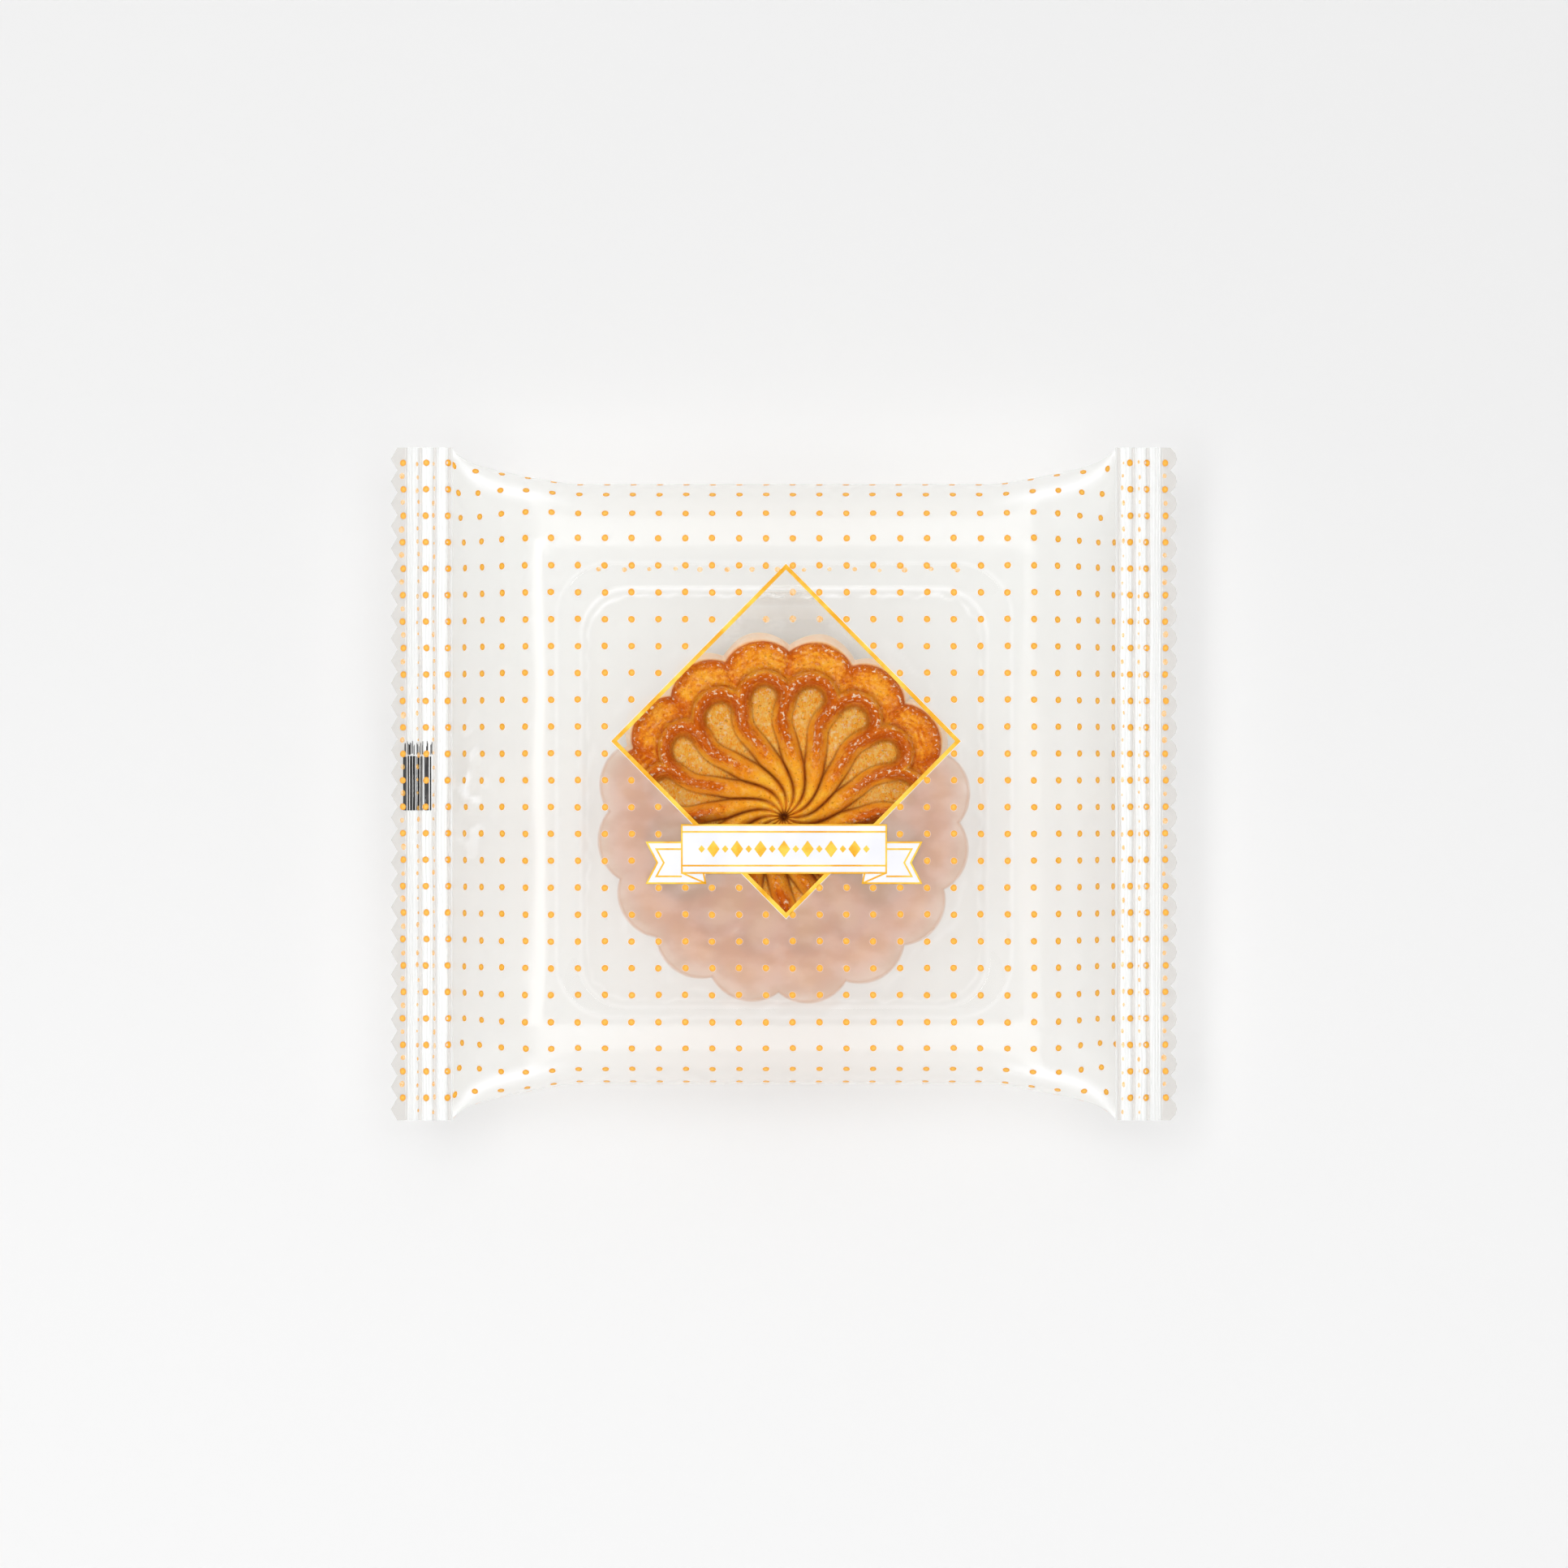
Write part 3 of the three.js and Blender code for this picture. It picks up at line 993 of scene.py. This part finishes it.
def make_dots():
    """The dots all round the film tube, in rows along the pack, the faint ones of its far layer, and a
    faint row over the tray's flange that is a painted reflection of the printed dots.
    """
    front_gold, front_halo, back_gold, back_halo, faint = (Shapes() for _ in range(5))
    for row in FIRST_ROW + DOT_PITCH * np.arange(-25, 26):
        if abs(row) > HALF_GIRTH - BACK_SEAL_WIDTH / 2 - 1.5:
            continue
        on_front = abs(row) < SIDE_REACH
        gold, halo = (front_gold, front_halo) if on_front else (back_gold, back_halo)
        for x in column_places(row):
            a = near(x, 0.06)
            b = near(row, 0.06)
            if on_front and not (outside_window(a, b, 0.4) and outside_ribbon(a, b)):
                if b > FAINT_ABOVE and not outside_window(a, b, -2.6):
                    add_dot(faint, None, TUBE, a, b)
                continue
            stretch = np.linalg.norm(TUBE.at(a + 0.5, b) - TUBE.at(a - 0.5, b))
            add_dot(gold, halo, TUBE, a, b, 1 / max(1.0, float(stretch)))
    # A painted reflection of the printed dots in the tray's flange: a faint row over it.
    for x in np.arange(-REFLECTED_DOT_REACH, REFLECTED_DOT_REACH + 1, REFLECTED_DOT_PITCH):
        add_dot(faint, None, TUBE, near(x, 0.2), near(REFLECTED_DOT_ROW, 0.2), 1.1, rng.uniform(0.5, 0.8))
    faint.piece("faint_dots", GHOST_FINISH, "gold_print")
    front_halo.piece("front_dot_grounds", WHITE_FINISH, "white_print")
    front_gold.piece("front_dots", GOLD_FINISH, "gold_print", "rim")
    back_halo.piece("back_dot_grounds", WHITE_FINISH, "white_print")
    back_gold.piece("back_dots", GOLD_FINISH, "gold_print", "rim")


def make_seal_dots(name, side, sheet, columns, pressed, shifted):
    """The dots on an end seal. Those of the far layer show pressed narrow in the grooves, twice as
    close along them, and pale in one more column, half a step along."""
    gold, far = Shapes(), Shapes()
    face = sheet_up(sheet, side)
    rows = FIRST_ROW + DOT_PITCH * np.arange(-13, 14)
    for row in rows[np.abs(rows) < SIDE_REACH - 0.9]:
        for distance in columns:
            add_dot(gold, None, face, near(distance, 0.1), row, 0.92)
    halves = np.concatenate([rows, rows + DOT_PITCH / 2])
    for row in halves[np.abs(halves) < SIDE_REACH - 0.9]:
        for distance in pressed:
            add_dot(far, None, face, near(distance, 0.15), near(row, 0.3), 0.5, rng.uniform(0.4, 0.85))
    for row in rows[np.abs(rows) < SIDE_REACH - 4] + DOT_PITCH / 2:
        add_dot(far, None, face, near(shifted, 0.2), near(row, 0.2), 0.85, rng.uniform(0.65, 1.0))
    gold.piece(name + "_dots", GOLD_FINISH, "gold_print", "rim")
    far.piece(name + "_far_dots", GHOST_FINISH, "gold_print")


def sheet_up(sheet, side):
    """The upper face of an end seal, facing up at both ends of the pack."""
    lifted = sheet.points + np.array([0, 0, SEAL_LAYERS / 2 + 0.01])
    return (Sheet if side > 0 else Mirrored)(sheet.first, sheet.second, lifted)


def make_window_border():
    """The gold line round the clear window and the thin white line outside it."""
    gold, white = Shapes(), Shapes()
    x, y = WINDOW_MIDDLE
    across, up = WINDOW_HALF
    corners = [(x, y + up), (x - across, y), (x, y - up), (x + across, y)]
    stroke(gold, corners, BORDER_WIDTH, PRINT_LIFT + PRINT_THICKNESS)
    stroke(white, corners, BORDER_WIDTH + 2 * BORDER_WHITE, PRINT_LIFT, shift=-0.05)
    white.piece("window_border_ground", WHITE_FINISH, "white_print")
    gold.piece("window_border", LINE_GOLD, "gold_print")


def make_ribbon():
    """The ribbon: a white panel over two folded tails, all edged with gold lines."""
    white, gold = Shapes(), Shapes()
    tail_layer, tail_lines, panel_layer, panel_lines = (
        PRINT_LIFT + layer * PRINT_THICKNESS for layer in (1, 2, 3, 4)
    )
    bottom = RIBBON_BOTTOM - RIBBON_DROP
    middle = (TAIL_TOP + bottom) / 2
    for side in (-1, 1):
        reaches = (TAIL_REACH, TAIL_REACH - TAIL_NOTCH, TAIL_FOLD, RIBBON_HALF, TAIL_REACH - TAIL_INSET)
        tip, notch, fold, panel, inset = (side * reach for reach in reaches)
        ends = [(tip, notch, tip), (fold, fold, fold)]
        patch(white, *ends[::-side], bottom, TAIL_TOP, tail_layer)
        outline = [
            (panel, TAIL_TOP),
            (tip, TAIL_TOP),
            (notch, middle),
            (tip, bottom),
            (fold, bottom),
            (fold + side * 0.4, RIBBON_BOTTOM),
        ]
        inner = [
            (panel, TAIL_TOP - LINE_INSET),
            (inset, TAIL_TOP - LINE_INSET),
            (inset - side * 1.5, middle),
            (inset, bottom + LINE_INSET),
            (panel, bottom + LINE_INSET),
        ]
        for line in (outline, [(fold, bottom), (panel, RIBBON_BOTTOM)], inner):
            stroke(gold, line, LINE_WIDTH, tail_lines, closed=False)
    left, right = -RIBBON_HALF, RIBBON_HALF
    patch(white, (left,) * 3, (right,) * 3, RIBBON_BOTTOM, RIBBON_TOP, panel_layer)
    edge = [(left, RIBBON_TOP), (left, RIBBON_BOTTOM), (right, RIBBON_BOTTOM), (right, RIBBON_TOP)]
    stroke(gold, edge, LINE_WIDTH, panel_lines)
    for y in (RIBBON_TOP - LINE_INSET, RIBBON_BOTTOM + LINE_INSET + 0.1):
        stroke(gold, [(left, y), (right, y)], LINE_WIDTH, panel_lines, closed=False)
    add_lozenges(gold, panel_lines)
    white.piece("ribbon_ground", WHITE_FINISH, "white_print")
    gold.piece("ribbon_lines", LINE_GOLD, "gold_print")


def add_lozenges(gold, low):
    """A row of lozenges with small ones between, alike on both sides of the middle."""
    middle = (RIBBON_TOP + RIBBON_BOTTOM) / 2
    for number in range(-7, 8):
        half_high = 1.7 if number % 2 == 0 else 0.75
        half_wide = 0.62 * half_high + 0.2
        x = number * LOZENGE_PITCH
        left, right = ((x, x + reach, x) for reach in (-half_wide, half_wide))
        patch(gold, left, right, middle - half_high, middle + half_high, low, step=2 * half_wide)


def make_eye_mark(sheet):
    """The mark on the left end seal that a packing machine reads, drawn as black and grey bars whose
    gaps are painted highlights of the seal's ribs, and worn streaks.
    """
    black, grey = Shapes(), Shapes()
    face = sheet_up(sheet, -1)
    for number, (distance, width) in enumerate(EYE_BARS):
        shapes = grey if number in GREY_BARS else black
        add_bar(shapes, face, distance, width, EYE_MARK_BOTTOM, near(EYE_MARK_TOP, 0.1))
        for _ in range(3):
            low = EYE_MARK_TOP + 0.3 + rng.uniform(0, 0.3)
            at = near(distance, 0.3)
            add_bar(grey, face, at, rng.uniform(0.08, 0.2), low, low + rng.uniform(1.6, 2.7))
    black.piece("eye_mark", BLACK_FINISH, "black_print")
    grey.piece("eye_mark_streaks", GREY_FINISH, "black_print")


def add_bar(shapes, sheet, distance, width, low, high):
    across = np.linspace(distance - width / 2, distance + width / 2, 3)
    a, b = grid(across[::-1], np.linspace(low, high, 12))
    shapes.add_slab(sheet.lifted(a, b, PRINT_THICKNESS), sheet.lifted(a, b, 0.0))


# The tray.


def rounded_square(half_x, half_y, corner, steps=14):
    """Points round a square with round corners, anticlockwise."""
    turns = np.linspace(0, math.pi / 2, steps + 1)
    points = []
    for quarter, (sign_x, sign_y) in enumerate(((1, 1), (-1, 1), (-1, -1), (1, -1))):
        angle = turns + quarter * math.pi / 2
        middle = np.array([sign_x * (half_x - corner), sign_y * (half_y - corner)])
        points.append(middle + corner * np.stack([np.cos(angle), np.sin(angle)], -1))
    return np.concatenate(points)


def tray_profile():
    """The tray's section, as how far in from the flange's edge and how high: a turned lip, the flat
    flange, the rounded edge, the wall, the fillet at its foot and the start of the floor."""
    bend = np.linspace(0, math.pi / 2, 6)
    start = [(0.0, TRAY_TOP - 1.4)]
    lip = [(LIP_ROUND * (1 - math.cos(t)), TRAY_TOP - LIP_ROUND * (1 - math.sin(t))) for t in bend]
    level = [(LIP_ROUND + 0.1, TRAY_TOP), (TRAY_RIM - 1.0, TRAY_TOP)]
    rounded = [(EDGE_ROUND * (1 - math.sin(t)), EDGE_ROUND * (1 - math.cos(t))) for t in bend]
    edge = [(TRAY_RIM - short, TRAY_TOP - drop) for short, drop in rounded]
    foot = TRAY_RIM + TRAY_DRAFT
    top = TRAY_TOP - EDGE_ROUND - 0.3
    height = top - TRAY_FLOOR - FOOT_ROUND
    wall = [(TRAY_RIM + TRAY_DRAFT * share, top - height * share) for share in np.linspace(0, 1, 10)]
    turn = np.linspace(0, math.pi / 2, 7)[1:]
    fillet = [
        (foot + FOOT_ROUND * (1 - math.cos(t)), TRAY_FLOOR + FOOT_ROUND * (1 - math.sin(t))) for t in turn
    ]
    inward = [(foot + FOOT_ROUND + 0.2, TRAY_FLOOR), (foot + FOOT_ROUND + 8, TRAY_FLOOR)]
    return np.array(start + lip + level + edge + wall + fillet + inward)


def make_tray():
    """The clear tray: a thin wall of even thickness, drawn down from a flange, with its floor."""
    upper = tray_profile()
    direction = np.gradient(upper, axis=0)
    direction /= np.linalg.norm(direction, axis=1, keepdims=True)
    lower = upper - np.stack([-direction[:, 1], direction[:, 0]], -1) * TRAY_WALL
    rings = []
    for inset, z in np.concatenate([upper, lower[::-1]]):
        half = TRAY_FLANGE - inset
        corner = max(TRAY_CORNER - inset * 0.35, 2.0)
        inward = min(inset / TRAY_RIM, 1)
        outline = rounded_square(half, half + CAVITY_LONGER * inward, corner) + np.array(TRAY_MIDDLE)
        outline[:, 1] += CAVITY_SHIFT * inward
        rings.append(np.concatenate([outline, np.full((len(outline), 1), z)], 1))
    points = np.stack(rings)
    rows, columns = points.shape[:2]
    index = np.arange(rows * columns).reshape(rows, columns)
    above = len(upper) - 1
    walls = grid_faces(rows, columns, close_rows=True, close_columns=True)[:, ::-1]
    walls = np.delete(walls, index[above], axis=0)
    faces = [walls, index[above][None], index[above + 1, ::-1][None]]
    new_piece("clear_tray", points.reshape(-1, 3), faces, tray_finish(), "clear_tray", sharp=50)


# The cake.


def swirl(radius):
    """How far clockwise a ridge has turned at a radius, in degrees."""
    return 42 * bell(radius, 8.4) - 3.3 * bell(radius, 3.6, 19.5)


def wrapped(angle):
    """An angle in degrees brought within half a petal of zero."""
    return (angle + PETAL_ANGLE / 2) % PETAL_ANGLE - PETAL_ANGLE / 2


def cake_outline(turn):
    """The radius of the cake's top edge in a direction: sixteen round lobes."""
    away = np.radians(wrapped(turn - VALLEY_ANGLE - PETAL_ANGLE / 2))
    return LOBE_CENTRE * np.cos(away) + np.sqrt(LOBE_RADIUS ** 2 - (LOBE_CENTRE * np.sin(away)) ** 2)


def cake_relief(turn, radius):
    """The cake's top at a direction, clockwise from +Y in degrees, and a radius: its height, and how
    much of it is browned, floor of a petal, painted shade in a groove, and glossy with egg wash, where
    the finish also paints glints."""
    # The ridges: straight legs that swirl out of the middle, and round arches at the petals' ends.
    wobble = 1.1 * np.sin(np.radians(3 * turn + 40)) + 0.8 * np.sin(np.radians(5 * turn + 200))
    wobble = wobble * smooth_step(radius, 2, 10) * (1 - smooth_step(radius, 24, 31))
    bend = swirl(radius) * (1 + 0.1 * np.sin(np.radians(2 * turn + 70))) + wobble
    slope = np.radians(swirl(radius + 0.1) - swirl(radius - 0.1)) / 0.2 * radius
    lean = np.sqrt(1 + slope ** 2)
    spacing = radius * math.radians(PETAL_ANGLE) / lean
    from_leg = radius * np.radians(np.abs(wrapped(turn - VALLEY_ANGLE - bend))) / lean
    upright = bend * (1 - smooth_step(radius, 24, 30))
    from_axis = np.radians(wrapped(turn - VALLEY_ANGLE - PETAL_ANGLE / 2 - upright))
    along = radius * np.cos(from_axis)
    from_arch = np.hypot(radius * np.sin(from_axis), along - ARCH_CENTRE)
    arched = along > ARCH_CENTRE
    inside = ~arched | (from_arch < ARCH_RADIUS)
    distance = np.where(arched, np.abs(from_arch - ARCH_RADIUS), from_leg)
    half_width = np.where(inside, np.minimum(RIDGE_HALF_WIDTH, 0.5 * spacing), OUTER_FLANK)
    share = np.clip(distance / np.maximum(half_width, 0.05), 0, 1)
    outward = smooth_step(radius, 10, 19)
    roll = np.cos(math.pi / 2 * share) ** 0.75
    crest = (0.5 + 0.5 * np.cos(math.pi * share)) ** 0.8
    ridge = roll * (1 - outward) + crest * outward
    # The height: ridges over the petals' floors and the outer band, with the band's folds and terraces.
    rise = FLOOR_DEPTH * (0.42 + 0.58 * smooth_step(radius, 3, 15))
    low = np.where(inside, 0.35 * (1 - smooth_step(radius, 4, 13)), BAND_HEIGHT)
    beyond = distance - half_width
    foot = bell(beyond, 0.3) * np.where(inside, 0.25, 0.45)
    valley = np.radians(np.abs(wrapped(turn - VALLEY_ANGLE))) * radius
    on_rim = smooth_step(radius, 27, 29.5)
    wander = 2.5 * ripple(turn, radius, 13, 24)
    rings = np.sin(from_arch * 2 * math.pi / 1.05 + wander) * ripple(turn, radius, 7, 25)
    terraces = np.where(inside, 0, rings)
    pit = 1 - smooth_step(radius, 0.4, 1.5)
    knot = 0.5 * bell(radius, 0.8, 2.2) * (1 + 0.5 * np.sin(np.radians(2 * turn + 30)))
    height = low + np.maximum(0, rise - low) * ridge - foot - 0.85 * bell(valley, 0.7) * on_rim
    height = height + 0.07 * terraces + knot - 1.6 * pit
    # The browning: crests, the outer band, and most of all the band's edge, in fine streaks.
    in_arch = smooth_step(along, 20, 25)
    off_crest = np.where(inside, distance, -distance) - 0.45 * in_arch
    strength = smooth_step(radius, 8, 19) + 0.25 * smooth_step(radius, 2, 8)
    streaks = np.sin(distance * 2 * math.pi / 0.85 + wander) * ripple(turn, radius, 6, 27)
    streaked = 1 + 0.14 * streaks * smooth_step(radius, 8, 16)
    on_crest = 1.05 * bell(off_crest, 1.3) * strength * streaked
    edge = cake_outline(turn) - radius
    even = 0.5 + 0.2 * np.sin(np.radians(turn)) ** 2
    on_band = np.where(inside, 0, even + 0.45 * (1 - smooth_step(edge, 0.2, 2.8)) + 0.16 * terraces)
    on_band = on_band + 0.3 * bell(valley, 1.6) * on_rim
    browned = np.maximum(on_crest, on_band * smooth_step(distance, 0.5, 1.3))
    # The petals' floors, painted shade in the grooves at the ridges' feet, under the arches' inner
    # flanks and in the middle pit, and the egg wash's shine, where the finish paints glints as well.
    floor = np.where(inside, smooth_step(beyond, -0.4, 0.1), 0.0) * smooth_step(radius, 9, 14)
    thin = bell(beyond, 0.34 - 0.14 * outward) * (0.9 - 0.3 * outward)
    soft = np.where(inside, 0.04, 0.4) * bell(beyond, 0.7) * outward
    under_arch = 0.75 * bell(distance, 0.5, 1.85) * np.where(inside, in_arch, 0)
    groove = np.maximum(np.maximum(thin, soft) * smooth_step(radius, 2.2, 6), under_arch)
    on_top = bell(distance, 0.5, 0.35) * smooth_step(radius, 9, 18)
    shine = np.maximum(on_top, 0.9 * bell(edge, 0.4, 0.9) + np.where(inside, 0, 0.15))
    on_floor = smooth_step(beyond, 0, 0.5) * smooth_step(radius, 12, 20)
    shine = shine + 0.5 * np.where(inside, on_floor, 0)
    return height, browned, floor, np.maximum(groove, 0.9 * pit), shine


def cake_wall(outline, edge_height, depths):
    """The cake's side: rings of points at depths under its top edge, fluted and bulging a little."""
    turn = np.linspace(0, 360, len(outline), endpoint=False)
    rings = []
    for depth in depths:
        bulge = SIDE_BULGE * (1 - math.exp(-depth / 1.8))
        tuck = 1.6 * smooth_step(depth, 19, 26)
        swell = outline + bulge - tuck + 0.12 * ripple(turn * 0.6, depth, 9, 12)
        swell = swell + 0.35 * (outline - outline.mean()) * smooth_step(depth, 2, 10)
        z = np.maximum(edge_height - depth, CAKE_BOTTOM)
        rings.append(np.stack([swell * np.sin(np.radians(turn)), swell * np.cos(np.radians(turn)), z], -1))
    return np.stack(rings)


def make_cake():
    """The cake: a polar grid over its top, then down its fluted side and under its foot."""
    columns = 600
    turn = np.linspace(0, 360, columns, endpoint=False)
    outline = cake_outline(turn)
    radius = np.linspace(0, 1, 132)[1:, None] * outline
    turns = np.broadcast_to(turn, radius.shape)
    height, browned, floor, groove, shine = cake_relief(turns, radius)
    x, y = radius * np.sin(np.radians(turns)), radius * np.cos(np.radians(turns))
    height = height + ripple(x, y, 11, 8) * 0.13 + ripple(x, y, 2.4, 9) * 0.055
    rounding = np.clip(1 - (outline - radius) / 1.3, 0, 1)
    height = height - 1.25 * (1 - np.sqrt(np.maximum(0, 1 - rounding ** 2)))
    top = np.stack([x, y, CAKE_TOP - FLOOR_DEPTH + height], -1)
    depths = np.concatenate([[0.3, 0.7, 1.2, 1.8, 2.6, 3.6], np.linspace(5, 25.2, 9)])
    wall = cake_wall(outline, top[-1, :, 2], depths)
    foot = wall[-1] * np.array([0.94, 0.94, 0]) + np.array([0, 0, CAKE_BOTTOM])
    rings = np.concatenate([top, wall, foot[None]])
    middles = np.array([[0, 0, top[0, :, 2].mean()], [0, 0, CAKE_BOTTOM]])
    points = np.concatenate([rings.reshape(-1, 3), middles]) + np.array([*CAKE_MIDDLE, 0])
    index = np.arange(columns)
    after = np.roll(index, -1)
    size = len(rings) * columns
    last = size - columns
    fan = np.stack([np.full(columns, size), after, index], -1)
    under = np.stack([np.full(columns, size + 1), last + index, last + after], -1)
    faces = [grid_faces(len(rings), columns, close_columns=True)[:, ::-1], fan, under]
    piece = new_piece("mooncake", points, faces, crust_finish(), "baked_crust", sharp=180)
    none = np.zeros((len(rings) - len(top), columns))
    on_wall = none + smooth_step(np.append(depths, 30), 0.0, 0.6)[:, None]
    for name, over_top, over_wall in (
        ("browned", browned, 0.6 * (1 - on_wall)),
        ("floor", floor, none),
        ("groove", groove, none),
        ("shine", shine, none),
        ("side", np.zeros_like(browned), on_wall),
    ):
        add_numbers(piece, name, np.concatenate([over_top.ravel(), over_wall.ravel(), [0, 0]]))


# Floor, light and camera.


def make_floor():
    a, b = grid(np.linspace(-4000, 4000, 9), np.linspace(-4000, 4000, 9))
    points = np.stack([a, b, np.zeros_like(a)], -1).reshape(-1, 3)
    floor = new_piece("floor", points, [grid_faces(9, 9)], floor_finish(), None)


def add_light(name, place, size, brightness):
    """A soft rectangular lamp that faces the pack: its size is first its level side, then the one that
    leans over, and both its place and its size are in metres. Brightness is the light that leaves each
    part of it."""
    lamp = bpy.data.lights.new(name, "AREA")
    lamp.shape = "RECTANGLE"
    lamp.size, lamp.size_y = size
    lamp.energy = brightness * math.pi * size[0] * size[1]
    holder = bpy.data.objects.new(name, lamp)
    holder.location = place
    holder.rotation_mode = "QUATERNION"
    holder.rotation_quaternion = holder.location.normalized().to_track_quat("Z", "Y")
    holder.visible_camera = False
    bpy.context.scene.collection.objects.link(holder)


def make_lights():
    """Four soft lamps round the pack, and a room that glows low down, most in front, behind and right."""
    add_light("left_lamp", (-0.66, 0.1, 1.25), (1.5, 0.42), 3.2)
    add_light("right_lamp", (0.62, 0.0, 1.3), (1.3, 0.7), 1.06)
    add_light("upper_lamp", (0.0, 0.94, 1.3), (1.5, 1.6), 1.53)
    add_light("lower_lamp", (0.0, -1.03, 1.25), (1.5, 1.4), 1.8)
    room = Finish("soft room", bpy.data.worlds, "ShaderNodeOutputWorld")
    toward = {0: room.node("ShaderNodeTexCoord", out=0)}
    right, across, up = (room.node("ShaderNodeSeparateXYZ", sockets=toward, out=axis) for axis in range(3))
    low_glow = 0.32 + across * across * 0.75 + right.over(0.1, 1.0) * 0.42
    bright = (1 - up.over(0.7, 0.97)) * 0.12 + (1 - up.over(0.1, 0.7)) * low_glow + 0.03
    bpy.context.scene.world = room.done(room.node("ShaderNodeBackground", sockets={0: WHITE, 1: bright}))


def make_camera():
    """Straight above the pack."""
    camera = bpy.data.cameras.new("camera")
    camera.sensor_width = 36
    camera.lens = 36 * (CAMERA_HEIGHT - TOP_HEIGHT / 1000) / VIEW_WIDTH
    holder = bpy.data.objects.new("camera", camera)
    holder.location = (0, 0, CAMERA_HEIGHT)
    bpy.context.scene.collection.objects.link(holder)
    bpy.context.scene.camera = holder


make_cake()
make_tray()
make_film_tube()
left_sheet = make_end_seal("left_end_seal", -1)
right_sheet = make_end_seal("right_end_seal", 1)
make_back_seal()
make_dots()
make_seal_dots("left_seal", -1, left_sheet, (0.62, 5.05, 9.75), (3.5, 6.75), 9.85)
make_seal_dots("right_seal", 1, right_sheet, (2.7, 6.0, 9.85), (1.2, 4.5), 9.7)
make_window_border()
make_ribbon()
make_eye_mark(left_sheet)
make_floor()
make_lights()
make_camera()

scene = bpy.context.scene
scene.view_settings.view_transform = "Standard"
scene.cycles.transparent_max_bounces = 24
